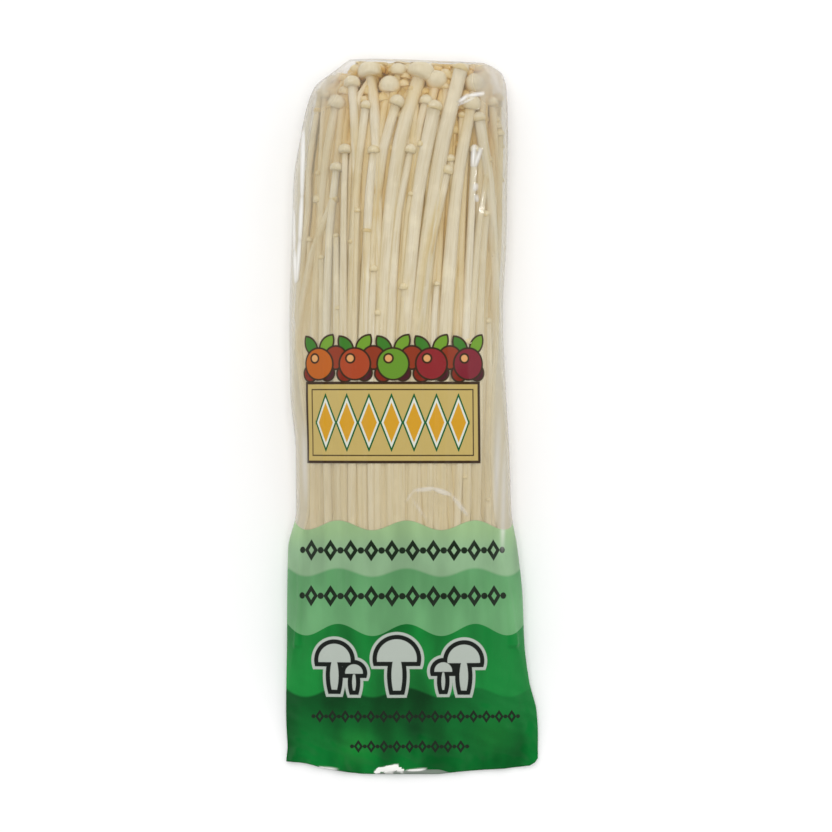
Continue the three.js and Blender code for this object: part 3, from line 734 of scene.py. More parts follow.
def film_grid():
    """The bag's form before it clings to the mushrooms: rows of rings of points."""
    front = np.sin(np.linspace(-np.pi / 2, np.pi / 2, FILM_COLUMNS_FRONT + 1))
    half_back = np.sin(np.linspace(0, np.pi / 2, HALF_BACK + 1))
    left_back, right_back = -half_back[:-1], half_back[-2:0:-1]
    ys = np.linspace(HEM_Y, END_Y, FILM_ROWS - END_ROWS + 1)
    centre, half, low, edge, top = (value[:, None] for value in section(ys))
    s = np.concatenate([left_back, front, right_back])
    backs = [back_z(left_back, edge, low), back_z(right_back, edge, low)]
    x = centre + half * s
    y = np.repeat(ys[:, None], len(s), axis=1)
    z = np.concatenate([backs[0], crown_z(front, edge, top), backs[1]], axis=1)
    y = y + (hem_y(x) - HEM_Y) * smooth(-y, -HEM_BOW_FROM, -HEM_Y) - end_drop(x) * smooth(y, 88, END_Y)
    return np.stack([x, y, z], axis=-1)


def drape(nominal, obstacle):
    """The film's heights once it is pulled taut over the mushrooms, held at its borders."""
    z = nominal.copy()
    for _ in range(DRAPE_ROUNDS):
        level = (z[:-2, 1:-1] + z[2:, 1:-1] + z[1:-1, :-2] + z[1:-1, 2:]) / 4
        z[1:-1, 1:-1] = level - DRAPE_PULL
        z = np.minimum(np.maximum(z, obstacle), nominal + DRAPE_SLACK)
    return z


def heights_under(tree, x, y):
    """The top of the mushrooms under each point."""
    found = np.full(x.shape, NO_MUSHROOM_Z)
    down = Vector((0, 0, -1))
    for at in np.ndindex(x.shape):
        hit = tree.ray_cast(Vector((x[at], y[at], ABOVE_ALL)), down)[0]
        if hit is not None:
            found[at] = hit.z
    return found


def spread(values, reach):
    """The highest value near each point of a grid."""
    rows, columns = values.shape
    padded = np.pad(values, reach, mode="edge")
    shifts = range(2 * reach + 1)
    tall = np.max([padded[k:k + rows] for k in shifts], axis=0)
    return np.max([tall[:, k:k + columns] for k in shifts], axis=0)


def softened(values, rounds):
    """The values of a grid averaged with their neighbours, again and again."""
    for _ in range(rounds):
        padded = np.pad(values, 1, mode="edge")
        mixed = (padded[:-2] + 2 * padded[1:-1] + padded[2:]) / 4
        values = (mixed[:, :-2] + 2 * mixed[:, 1:-1] + mixed[:, 2:]) / 4
    return values


def in_corners(x, y, middle, across, along):
    return smooth(y, *along) * smooth(np.abs(x - middle), *across)


def cling(grid, hit, draw):
    """The front film's heights over the mushrooms, with its slack folds, ripples and creases, and
    how white the creases are painted, partly stress-whitening and partly painted highlights."""
    x, y, nominal = (grid[:, FRONT_COLUMNS, k] for k in range(3))
    z = drape(nominal, hit + CLING)
    hem = smooth(-y, *LOOSE_HEM)
    corners = in_corners(x, y, *LOOSE_CORNERS)
    # Each set of ripples: where it is, its height, its length, and its pace along the bag.
    for where, height, length, pace in (
        (1, 0.10, 9.0, 1), (1, 0.05, 4.0, 1), (hem, 0.55, 9.0, 0.35), (hem, 0.25, 5.0, 1),
        (corners, 0.12, 6.0, 1),
    ):
        z += where * height * ripples(x, pace * y, draw, length)
    rise, crease_white_and_glint = crease_field(x, y, CREASES + hem_creases(draw))
    column = np.arange(x.shape[1])
    border = np.minimum(1, np.minimum(column, column[::-1]) / BORDER_COLUMNS)
    z = nominal + (z + rise - nominal) * border
    under_print = smooth(-y, -20, -8)
    floor_z = hit + 0.1 + (spread(hit, 1) - hit) * under_print
    z = np.maximum(np.maximum(softened(z, 2), floor_z), station(LOW, y) + HEM_THICK)
    return z, crease_white_and_glint


def close_end(grid):
    """The grid with rows added that draw the top end in to its middle."""
    last = grid[-1]
    middle = last.mean(axis=0)
    rows = []
    for k in range(1, END_ROWS + 1):
        share = 1 - k / (END_ROWS + 0.5)
        ring = middle + (last - middle) * share
        ring[:, 1] = END_Y - end_drop(ring[:, 0]) - 0.3 * (1 - share)
        rows.append(ring)
    return np.concatenate([grid, np.array(rows)])


def sealed_hem(grid):
    """Triangles that join the front and the back film along the hem."""
    columns = grid.shape[1]
    left, right = FRONT_COLUMNS.start, FRONT_COLUMNS.stop - 1
    front = list(range(left, right + 1))
    back = [(left - k) % columns for k in range(FILM_COLUMNS_BACK + 1)]
    x = grid[0, :, 0]
    faces = []
    i = j = 0
    while i < len(front) - 1 or j < len(back) - 1:
        front_next = x[front[i + 1]] if i < len(front) - 1 else np.inf
        back_next = x[back[j + 1]] if j < len(back) - 1 else np.inf
        if front_next <= back_next:
            triangle = (front[i], back[j], front[i + 1])
            i += 1
        else:
            triangle = (front[i], back[j], back[j + 1])
            j += 1
        if len(set(triangle)) == 3:
            faces.append(triangle)
    return faces


def print_places(grid):
    """Where each point lies on the print: across, measured round the film from the middle of the
    front, and along."""
    steps = np.linalg.norm(np.diff(grid, axis=1, prepend=grid[:, :1]), axis=2)
    around = np.cumsum(steps, axis=1)
    rows = zip(grid[:, FRONT_COLUMNS, 0], around[:, FRONT_COLUMNS])
    middle = np.array([np.interp(PRINT_MIDDLE_X, *row) for row in rows])
    column = np.arange(grid.shape[1])
    behind = np.maximum(FRONT_COLUMNS.start - column, column - FRONT_COLUMNS.stop + 1)
    along = grid[:, :, 1] + BACK_PRINT_DROP * smooth(behind, 0, 3)
    return np.stack([around - middle[:, None], along, 0 * around], axis=-1)


def haze(grid, hit):
    """How hazy the film looks at each point, from 0 to 1: the more, the further it stands off."""
    x, y, z = (grid[:, :, k] for k in range(3))
    over = np.clip((z[:, FRONT_COLUMNS] - spread(hit, AIR_REACH)) / AIR_FULL, 0, 1)
    air = np.full(x.shape, BACK_AIR)
    air[:, FRONT_COLUMNS] = softened(over, HAZE_ROUNDS)
    air *= 1 - CLEARER_END * smooth(y, 98, 103)
    corners = CORNER_HAZE * in_corners(x, y, *HAZY_CORNERS)
    left, right = bunch_sides(y)
    beside = smooth(np.maximum(left - x, x - right), -0.2, 1.0)
    air = np.maximum.reduce([air, corners, beside])
    centre, half = section(y)[:2]
    return air * (1 - CLEARER_SIDES * smooth(np.abs(x - centre) / half, 0.94, 0.99))


def store_film(piece, printed, air, crease_white_and_glint, above_ink_edge):
    """What the film's material reads: the place on the print, the haze, the creases' whitening and
    painted highlights, and how far above the lower end of the ink each point lies."""
    store(piece, "print_mm", "FLOAT_VECTOR", printed)
    store(piece, "air", "FLOAT", air)
    store(piece, "crease_white_and_glint", "FLOAT", crease_white_and_glint)
    store(piece, "above_ink_edge", "FLOAT", above_ink_edge)


def make_film(obstacles, draw, material):
    """The bag: a closed tube of film, whose front is pulled down over the mushrooms."""
    columns = FILM_COLUMNS_FRONT + FILM_COLUMNS_BACK
    tube, faces = model_rod(columns, FILM_ROWS)
    grid = film_grid()
    printed = print_places(grid)
    hit = heights_under(obstacles, grid[:, FRONT_COLUMNS, 0], grid[:, FRONT_COLUMNS, 1])
    crease_white_and_glint = np.zeros(grid.shape[:2])
    grid[:, FRONT_COLUMNS, 2], crease_white_and_glint[:, FRONT_COLUMNS] = cling(grid, hit, draw)
    air = haze(grid, hit)
    grid = close_end(grid)
    added = ((0, END_ROWS), (0, 0))
    printed = np.pad(printed, (*added, (0, 0)), mode="edge")
    air, crease_white_and_glint = (np.pad(field, added, mode="edge") for field in (air, crease_white_and_glint))
    air[-END_ROWS:] *= 1 - CLEARER_END / 2
    above = printed[..., 1] - np.interp(grid[..., 0], *INK_EDGE.T)

    ring = np.rint(tube[:, 2] * FILM_ROWS).astype(int)
    turn = np.arctan2(tube[:, 1], tube[:, 0]) / (2 * np.pi)
    column = np.rint(turn * columns).astype(int) % columns
    vertex = np.empty(grid.shape[:2], dtype=int)
    vertex[ring, column] = np.arange(len(tube))
    bottom = next(face for face in faces if len(face) > 4 and all(ring[v] == 0 for v in face))
    faces.remove(bottom)
    faces += [[int(vertex[0, c]) for c in face] for face in sealed_hem(grid)]
    film = write_piece("film_sleeve", grid[ring, column], faces, material)
    store_film(film, *(field[ring, column] for field in (printed, air, crease_white_and_glint, above)))
    return film


# ---- The film's seam and folded end ---------------------------------------------------------

SHEET_THICK = 0.08
BACK_SEAM = dict(x=0.0, width=9.0, from_y=-98.0, to_y=90.0)
BACK_SEAM_Z = 0.28
TOP_FLAP = dict(x=1.0, width=35.0, from_y=82.5, to_y=103.0)
SEAL_RIBS = 1.1  # the pitch of the ribs that the sealing jaws leave
SEAL_WIDTH = 6.0


def flat_sheet(name, place, columns, rows, heights, material):
    """A thin sheet under the bag, whose height at each (x, y) is given by a function."""
    start_piece()
    bpy.ops.mesh.primitive_grid_add(x_subdivisions=columns, y_subdivisions=rows, size=1)
    sheet = bpy.context.object
    sheet.name = sheet.data.name = name
    at = np.empty(len(sheet.data.vertices) * 3)
    sheet.data.vertices.foreach_get("co", at)
    at = at.reshape(-1, 3)
    x = place["x"] + at[:, 0] * place["width"]
    y = place["from_y"] + (at[:, 1] + 0.5) * (place["to_y"] - place["from_y"])
    points = np.stack([x, y, heights(x, y)], axis=-1)
    sheet.data.vertices.foreach_set("co", (points * MM).ravel())
    sheet.data.shade_smooth()
    sheet.data.materials.append(material)
    store_film(sheet, np.stack([x, y, 0 * x], axis=-1), 0 * x + BACK_AIR, 0 * x, 0 * x + 1)
    wall = sheet.modifiers.new("wall", "SOLIDIFY")
    wall.thickness = SHEET_THICK * MM
    wall.offset = 0
    bpy.ops.object.modifier_apply(modifier=wall.name)
    return sheet


def make_back_seam(draw, material):
    def heights(x, y):
        edge = smooth(np.abs(x - BACK_SEAM["x"]), 2.5, 4.5)
        wavy = 0.10 * ripples(x, y, draw, 7.0) + 0.08 * edge * ripples(x, y, draw, 3.0)
        return BACK_SEAM_Z + wavy

    return flat_sheet("back_seam", BACK_SEAM, 12, 260, heights, material)


def make_top_flap(draw, material):
    def heights(x, y):
        ribbed = smooth(TOP_FLAP["from_y"] + SEAL_WIDTH - y, 0, SEAL_WIDTH)
        ribs = 0.05 * ribbed * np.sin(2 * np.pi * y / SEAL_RIBS)
        wavy = 0.08 * ripples(x, y, draw, 9.0)
        return np.maximum(station(LOW, y) - 0.4, 0.16) + ribs + wavy

    return flat_sheet("top_flap", TOP_FLAP, 60, 120, heights, material)


# ---- The dense inside -----------------------------------------------------------------------

PACKED_SIDES = 96
# How far each reaches along the bag, how far in from the film, and its ribs' number and height.
INNER_STEMS = dict(levels=np.linspace(-72, 82, 78), inset=4.3, ribs=27, rib=0.5)
ROOT_BLOCK = dict(levels=np.linspace(-75.6, -58, 24), inset=3.4, ribs=31, rib=0.35)
ENDS_ROUNDED = (0.8, 2.2)  # how far in and how far along their ends are rounded
PACKED_INWARD = 2.0
RIB_ROUND = 30.0  # the ripples that bend the ribs run round a circle of this radius


def packed_form(name, plan, draw, material):
    """Stems so closely packed that they read as one ribbed body."""
    levels = plan["levels"]
    tube, faces = model_rod(PACKED_SIDES, len(levels) - 1)
    ring = np.rint(tube[:, 2] * (len(levels) - 1)).astype(int)
    angle = np.arctan2(tube[:, 1], tube[:, 0])
    y = levels[ring]
    from_end = np.minimum(y - levels[0], levels[-1] - y)
    rounded = ENDS_ROUNDED[0] * (1 - smooth(from_end, 0, ENDS_ROUNDED[1]))
    round_x, round_y = RIB_ROUND * np.cos(angle), RIB_ROUND * np.sin(angle) + y
    bend = 0.9 * ripples(round_x, round_y, draw, 30.0)
    ribs = plan["rib"] * np.cos(plan["ribs"] * angle + bend)
    pressed = 1 - LOWER_PRESS * (1 - smooth(y, *PRESS_ENDS))
    inset = plan["inset"] * pressed + rounded + ribs + 0.3 * ripples(round_x, round_y, draw, 9.0)
    _, _, low, edge, top = section(y, inset)
    left, right = bunch_sides(y, PACKED_INWARD)
    centre, half = (left + right) / 2, (right - left) / 2
    s, front = -np.cos(angle), np.sin(angle) > 0
    z = np.where(front, crown_z(s, edge, top), back_z(s, edge, low))
    points = np.stack([centre + s * half, y, z], axis=-1)
    grown = np.stack([points[:, 0], points[:, 2], points[:, 1]], axis=-1)
    no_cap, tone = np.zeros(len(points)), np.full(len(points), 0.5)
    return write_flesh(name, points, faces, grown, no_cap, tone, material)


# ---- Materials ------------------------------------------------------------------------------

def linear(hex_colour):
    """An sRGB hex value as linear red, green, blue and an alpha of 1."""
    parts = [int(hex_colour[k:k + 2], 16) / 255 for k in (1, 3, 5)]
    return [v / 12.92 if v <= 0.04045 else ((v + 0.055) / 1.055) ** 2.4 for v in parts] + [1.0]


def new_material(name):
    material = bpy.data.materials.new(name)
    material.use_nodes = True
    material.node_tree.nodes.clear()
    return material


def add(material, kind, inputs=(), output=0, **settings):
    """Adds a node and returns one of its outputs. Its inputs, in their order or by name, are plain
    values or the outputs of other nodes."""
    node = material.node_tree.nodes.new("ShaderNode" + kind)
    for setting, value in settings.items():
        setattr(node, setting, value)
    for socket, value in inputs.items() if isinstance(inputs, dict) else enumerate(inputs):
        if isinstance(value, bpy.types.NodeSocket):
            material.node_tree.links.new(value, node.inputs[socket])
        else:
            node.inputs[socket].default_value = value
    return node.outputs[output] if node.outputs else None


# A Map Range node set so runs smoothly from one value to another. Its inputs are what it follows,
# where that starts and ends, and what it gives there: 0 and 1 unless said.
SMOOTHLY = {"interpolation_type": "SMOOTHSTEP"}
# The sockets of a Mix node: its share, its two numbers, its two colours, and the mixed colour.
SHARE, NUMBER_A, NUMBER_B, COLOUR_A, COLOUR_B, MIXED_COLOUR = 0, 2, 3, 6, 7, 2


def tinted(m, colour, *tints):
    """The colour with tints laid over it in turn. Each is what it follows, where in that it starts
    and where it is full, its share there, and its colour."""
    for value, start, full, share, tint in tints:
        shown = add(m, "MapRange", (value, start, full, 0.0, share), **SMOOTHLY)
        inputs = {SHARE: shown, COLOUR_A: colour, COLOUR_B: linear(tint)}
        colour = add(m, "Mix", inputs, MIXED_COLOUR, data_type="RGBA")
    return colour


FIBRES_PER_MM = (2.6, 2.6, 0.09)  # across, over and along the stem


def enoki_flesh(name):
    """Enoki mushroom flesh: fresh, moist and full of fine fibres that run along the stem.

    Light goes a little way in, so its shadows are soft. The fibres show as faint streaks and the
    tone differs from mushroom to mushroom. Painted golden shade darkens the flesh deep in the bunch
    and in the gaps between mushrooms, and painted shade darkens it a little towards the caps.
    """
    m = new_material(name)
    grown = add(m, "Attribute", output="Vector", attribute_name="grown")
    cap, tone, depth, crevice_shade = (
        add(m, "Attribute", output="Fac", attribute_name=read)
        for read in ("cap", "tone", "depth", "crevice_shade")
    )
    along = add(m, "SeparateXYZ", [add(m, "TexCoord", output="Object")], "Y")
    stretched = add(m, "VectorMath", (grown, FIBRES_PER_MM), operation="MULTIPLY")
    fibres = add(m, "TexNoise", {"Vector": stretched, "Scale": 1.0, "Detail": 5.0})
    pale_blotches_and_highlights = add(m, "TexNoise", {"Vector": grown, "Scale": 0.16, "Detail": 3.0})
    colour = tinted(
        m, linear("#dfd7c2"),
        (tone, 0.0, 1.0, 1.0, "#dacfb4"),
        (fibres, 0.42, 0.7, 0.5, "#c2b088"),
        # Paler patches: partly the flesh's own uneven tone, partly painted highlights.
        (pale_blotches_and_highlights, 0.5, 0.75, 0.45, "#f0e6ca"),
        (cap, 0.0, 1.0, 0.4, "#dfd0a6"),
        (along, 0.02, -0.02, 0.45, "#cbbb92"),
        # Painted shade: the flesh a little darker towards the caps, taking off light that the loosely
        # packed top catches.
        (along, 0.045, 0.085, 0.35, "#c2b69a"),
        # Painted shade: golden and darker the deeper the flesh lies in the bunch.
        (depth, 0.06, 0.5, 1.0, "#d8ac4e"),
        # Painted shade: golden and darker where flesh faces other flesh closely, in the gaps between
        # mushrooms.
        (crevice_shade, 0.25, 1.0, 0.42, "#c4a95a"),
        (crevice_shade, 0.78, 1.0, 0.3, "#bc9146"),
    )
    bumps = add(m, "Bump", {"Height": fibres, "Strength": 0.35, "Distance": 0.12 * MM})
    flesh = add(m, "BsdfPrincipled", {
        "Base Color": colour,
        "Roughness": 0.48,
        "IOR": 1.38,
        "Subsurface Weight": 0.12,
        "Subsurface Radius": (1.0, 0.97, 0.92),
        "Subsurface Scale": 0.4 * MM,
        "Normal": bumps,
    })
    add(m, "OutputMaterial", [flesh])
    return m


# The print on the film, in millimetres across the front from its middle and along it.
WAVE_PERIOD = 20.0
WAVE_PEAK = -1.2
# Green bands from the top one down: the level of its edge, the edge's wave height and softness,
# its colour at its top and further down, where that is reached, and how opaque the ink is.
BANDS = [
    (-31.0, 1.4, 0.12, "#99bb88", "#8eb28a", -40.0, 0.93),
    (-44.7, 1.2, 0.5, "#619d67", "#6ba670", -58.0, 0.94),
    (-61.5, 1.75, 0.1, "#11752f", "#147a32", -76.0, 0.97),
    (-80.0, 1.4, 0.5, "#03451a", "#086628", -95.0, 0.98),
]
DARK_GREENS = -60.0  # the bands below this level are dark, with painted light making them lighter towards the right
FOLD_SHADES_PER_MM = (0.09, 0.032, 0)
LIGHT_BAND_SHADING, DARK_BAND_SHADING = 0.14, 0.34  # how much darker and lighter the painted shade and sheen of folds make the pale and the dark bands
# Soft patches of painted light and shade where folds of the film catch or lose the light: x, y, radius
# and colour.
FOLD_LIGHT_AND_SHADE_PATCHES = (
    (-16.0, -96.5, 4.5, "#1d8a36"),
    (1.0, -90.5, 3.5, "#04401a"),
    (24.0, -92.0, 4.5, "#13752d"),
)
DARK_INK = "#1c2a1c"
OUTLINE_INK = "#3a2a1c"
EDGE_SOFT = 0.12

# A layer of ink: the distance in millimetres to its edge, less than 0 inside, its colour and how
# opaque it is, how soft its edge is, and its share where it is full.
Ink = namedtuple("Ink", "distance colour opacity soft share", defaults=(EDGE_SOFT, 1.0))


def moved(m, place, x, y):
    """The print place counted from a point."""
    return add(m, "VectorMath", (place, (x, y, 0)), operation="SUBTRACT")


def repeated(m, place, step):
    """The place within one of the motifs that stand side by side, a step apart."""
    most, least = (step / 2, 1000, 1000), (-step / 2, -1000, -1000)
    return add(m, "VectorMath", (place, most, least), operation="WRAP")


def either(m, a, b):
    """Both shapes together."""
    return add(m, "Math", (a, b), operation="MINIMUM")


def overlap(m, a, b):
    """Only where both shapes are."""
    return add(m, "Math", (a, b), operation="MAXIMUM")


def widened(m, shape, by):
    return add(m, "Math", (shape, by), operation="SUBTRACT")


def line_of(m, shape, width):
    """A line of that width along a shape's edge."""
    return widened(m, add(m, "Math", [shape], operation="ABSOLUTE"), width / 2)


def disc(m, place, x, y, radius):
    return widened(m, add(m, "VectorMath", [moved(m, place, x, y)], "Value", operation="LENGTH"), radius)


def box(m, place, x, y, half_width, half_height):
    folded = add(m, "VectorMath", [moved(m, place, x, y)], operation="ABSOLUTE")
    over = moved(m, folded, half_width, half_height)
    return overlap(m, *(add(m, "SeparateXYZ", [over], side) for side in ("X", "Y")))


def lozenge(m, place, x, y, half_width, half_height):
    folded = add(m, "VectorMath", [moved(m, place, x, y)], operation="ABSOLUTE")
    slopes = (1 / half_width, 1 / half_height, 0)
    share = add(m, "VectorMath", (folded, slopes), "Value", operation="DOT_PRODUCT")
    return add(m, "Math", (share, half_height, -half_height), operation="MULTIPLY_ADD")


def leaf(m, place, x, y, across_x, across_y, round_radius):
    """A pointed leaf, where two discs overlap whose middles lie either side of it."""
    sides = (x - across_x, y - across_y), (x + across_x, y + across_y)
    return overlap(m, *(disc(m, place, *side, round_radius) for side in sides))


def stretch(m, place, from_x, to_x):
    """Everything between two places across the front."""
    return box(m, place, (from_x + to_x) / 2, 0, (to_x - from_x) / 2, 1000)


def fold_light_and_shade(m, place, colour, share):
    """The colour darker and lighter by a share, in long soft patches: painted shade and sheen of the
    film's soft folds.
    """
    stretched = add(m, "VectorMath", (place, FOLD_SHADES_PER_MM), operation="MULTIPLY")
    patches = add(m, "TexNoise", {"Vector": stretched, "Scale": 1.0, "Detail": 2.5})
    shade = add(m, "MapRange", (patches, 0.32, 0.68, 1 - share, 1 + share), **SMOOTHLY)
    return add(m, "HueSaturation", {"Value": shade, "Color": colour})


def green_bands(m, place, across, along):
    """The four green bands with their waved edges, and the painted light and shade on them."""
    pace = 2 * np.pi / WAVE_PERIOD
    turn = add(m, "Math", (across, pace, -pace * WAVE_PEAK), operation="MULTIPLY_ADD")
    wave = add(m, "Math", [turn], operation="COSINE")
    # Painted light: the dark bands lighter towards the right, fading out low down.
    rightward = add(m, "MapRange", (across, 5.0, 28.0, 0.0, 0.65), **SMOOTHLY)
    upward = add(m, "MapRange", (along, -96.0, -84.0), **SMOOTHLY)
    painted_lighter = add(m, "Math", (rightward, upward), operation="MULTIPLY")
    layers = []
    for level, height, soft, upper, lower, lower_at, opacity in BANDS:
        dark = level < DARK_GREENS
        edge = add(m, "Math", (wave, height, level), operation="MULTIPLY_ADD")
        colour = tinted(m, linear(upper), (along, level, lower_at, 1.0, lower))
        # Painted shade and sheen of the film's folds over each band.
        colour = fold_light_and_shade(m, place, colour, DARK_BAND_SHADING if dark else LIGHT_BAND_SHADING)
        if dark:
            inputs = {SHARE: painted_lighter, COLOUR_A: colour, COLOUR_B: linear("#16853a")}
            colour = add(m, "Mix", inputs, MIXED_COLOUR, data_type="RGBA")
        layers.append(Ink(widened(m, along, edge), colour, opacity, soft))
    # Soft patches of painted light and shade where folds catch or lose the light.
    for x, y, radius, colour in FOLD_LIGHT_AND_SHADE_PATCHES:
        layers.append(Ink(disc(m, place, x, y, radius), linear(colour), 0.98, radius, 0.8))
    return layers


PANEL = dict(x=-5.6, y=-1.3, half_width=25.9, half_height=11.4)
PANEL_FRAME = 1.9
LATTICE_STEP = 6.5
GARLAND = dict(from_x=-33.0, to_x=22.5, y=10.4, step=11.1)
FRUITS = ("#b9601f", "#a8482a", "#66922f", "#8c2c30", "#7d2733")
OUTLINE = 0.55
# Rows of lozenges and dots: the level, from and to which x, and the size.
BORDER_STEP = 6.0
BORDERS = (
    (-38.3, -32.5, 27.5, 1.0),
    (-51.6, -32.5, 27.5, 1.0),
    (-87.2, -28.6, 31.4, 0.625),
    (-96.2, -17.3, 16.5, 0.625),
)
# Three emblems, each a group of mushrooms: x and y of the cap's middle, its radius, and how far
# the stem reaches below it.
EMBLEMS = (
    ((-22.4, -70.4, 5.2, 9.2), (-16.6, -74.2, 3.0, 5.6)),
    ((-4.1, -70.0, 6.2, 9.8),),
    ((15.4, -70.6, 5.2, 9.2), (9.4, -73.6, 3.0, 6.0)),
)


def panel(m, place):
    """An ochre panel with a ruled frame and a row of ringed lozenges."""
    x, y, half_width, half_height = PANEL.values()
    outer = box(m, place, x, y, half_width, half_height)
    inner = widened(m, outer, -PANEL_FRAME)
    inside = widened(m, outer, -PANEL_FRAME - 1.1)
    gem = lozenge(m, repeated(m, moved(m, place, x, y), LATTICE_STEP), 0, 0, 3.4, 8.6)
    layers = [Ink(outer, linear("#c2ab68"), 0.96)]
    for by, colour in ((0.0, "#1f5f35"), (-1.3, "#dcdfd2"), (-2.8, "#d29c2c")):
        layers.append(Ink(overlap(m, widened(m, gem, by), inside), linear(colour), 0.96))
    layers.append(Ink(line_of(m, inner, 0.35), linear(OUTLINE_INK), 0.96))
    layers.append(Ink(line_of(m, outer, 0.8), linear(OUTLINE_INK), 0.97))
    return layers


def garland(m, place, across):
    """Round fruits and leaves in a row on the panel's top edge, each fruit of its own colour."""
    from_x, to_x, y, step = GARLAND.values()
    cells = repeated(m, moved(m, place, from_x + step / 2, 0), step)
    shown = stretch(m, place, from_x, to_x)
    between_fruits = stretch(m, place, from_x + step / 2, to_x - step / 2)
    starts = [from_x + k * step for k in range(1, len(FRUITS))]
    fruit = tinted(m, linear(FRUITS[0]), *(
        (across, x - 0.05, x + 0.05, 1.0, colour) for x, colour in zip(starts, FRUITS[1:])
    ))
    behind = either(m, *(disc(m, cells, x, y + 7.0, 3.1) for x in (-step / 2, step / 2)))
    layers = []
    for shape, colour, where in (
        (leaf(m, cells, -2.5, y + 10.3, 1.9, 1.3, 3.9), linear("#3f7a2c"), shown),
        (leaf(m, cells, 2.7, y + 10.7, 1.9, -1.3, 3.9), linear("#719c33"), shown),
        (behind, linear("#8e3a24"), between_fruits),
        (disc(m, cells, -2.8, y + 2.4, 2.1), linear("#7d2a1c"), shown),
        (disc(m, cells, 2.9, y + 2.6, 2.0), linear("#4a2028"), shown),
        (disc(m, cells, 0.1, y + 5.2, 4.3), fruit, shown),
        (disc(m, cells, -1.2, y + 6.8, 1.0), linear("#dba268"), shown),
    ):
        outlined = widened(m, shape, OUTLINE)
        layers.append(Ink(overlap(m, outlined, where), linear(OUTLINE_INK), 0.95))
        layers.append(Ink(overlap(m, shape, where), colour, 0.95))
    return layers


def borders(m, place):
    """Dark rows of hollow lozenges and dots on the green bands."""
    layers = []
    for level, from_x, to_x, size in BORDERS:
        step = BORDER_STEP * size
        cells = repeated(m, moved(m, place, from_x + step / 2, 0), step)
        gem = line_of(m, lozenge(m, cells, 0, level, 1.5 * size, 2.2 * size), 1.9 * size)
        dots = either(m, *(disc(m, cells, x, level, 0.95 * size) for x in (-step / 2, step / 2)))
        shown = stretch(m, place, from_x - size, to_x + size)
        layers.append(Ink(overlap(m, either(m, gem, dots), shown), linear(DARK_INK), 0.97))
    return layers


def emblems(m, place):
    """Three line-drawn groups of mushrooms, dark on a pale ground."""
    shape = None
    for x, y, radius, reach in (mushroom for emblem in EMBLEMS for mushroom in emblem):
        above = box(m, place, x, y + 0.8 * radius, 2 * radius, radius)
        cap = overlap(m, disc(m, place, x, y, radius), above)
        sides = leaf(m, place, x, y - reach / 2, 3.3 * radius, 0, 3.62 * radius)
        stem = overlap(m, sides, box(m, place, x, y - reach / 2, radius, reach / 2))
        one = widened(m, either(m, cap, stem), 0.25)
        shape = one if shape is None else either(m, shape, one)
    return [
        Ink(widened(m, shape, 1.5), linear("#b9c2b8"), 0.96),
        Ink(line_of(m, shape, 1.3), linear("#141a16"), 0.97),
    ]


LOW_DOWN, HIGH_UP = (25.0, -5.0), (78.0, 95.0)  # where the film is cloudier, along the bag
# A paler, milkier round patch on a fold of the film: partly the film's own whitening, partly painted
# sheen.
FOLD_SHEEN_PATCH = dict(x=7.3, y=-23.0, radius=3.2)


def milky_cover(m, air, across, along):
    """How much of the mushrooms the bare film hides: the more, the further it stands off them, and
    more along the sides, low down and high up."""
    ends = overlap(m, *(add(m, "MapRange", (along, *ends), **SMOOTHLY) for ends in (LOW_DOWN, HIGH_UP)))
    milkiest = add(m, "MapRange", (ends, 0.0, 1.0, 0.55, 0.85), **SMOOTHLY)
    off_middle = add(m, "Math", [across], operation="ABSOLUTE")
    by_sides = 1.0
    for value, start, full in ((off_middle, 12.0, 26.0), (off_middle, 44.0, 36.0), (along, 103.0, 98.0)):
        near = add(m, "MapRange", (value, start, full), **SMOOTHLY)
        by_sides = add(m, "Math", (near, by_sides), operation="MULTIPLY")
    least_milky = add(m, "MapRange", (by_sides, 0.0, 1.0, 0.06, 0.32), **SMOOTHLY)
    return add(m, "MapRange", (air, 0.35, 1.0, least_milky, milkiest), **SMOOTHLY)


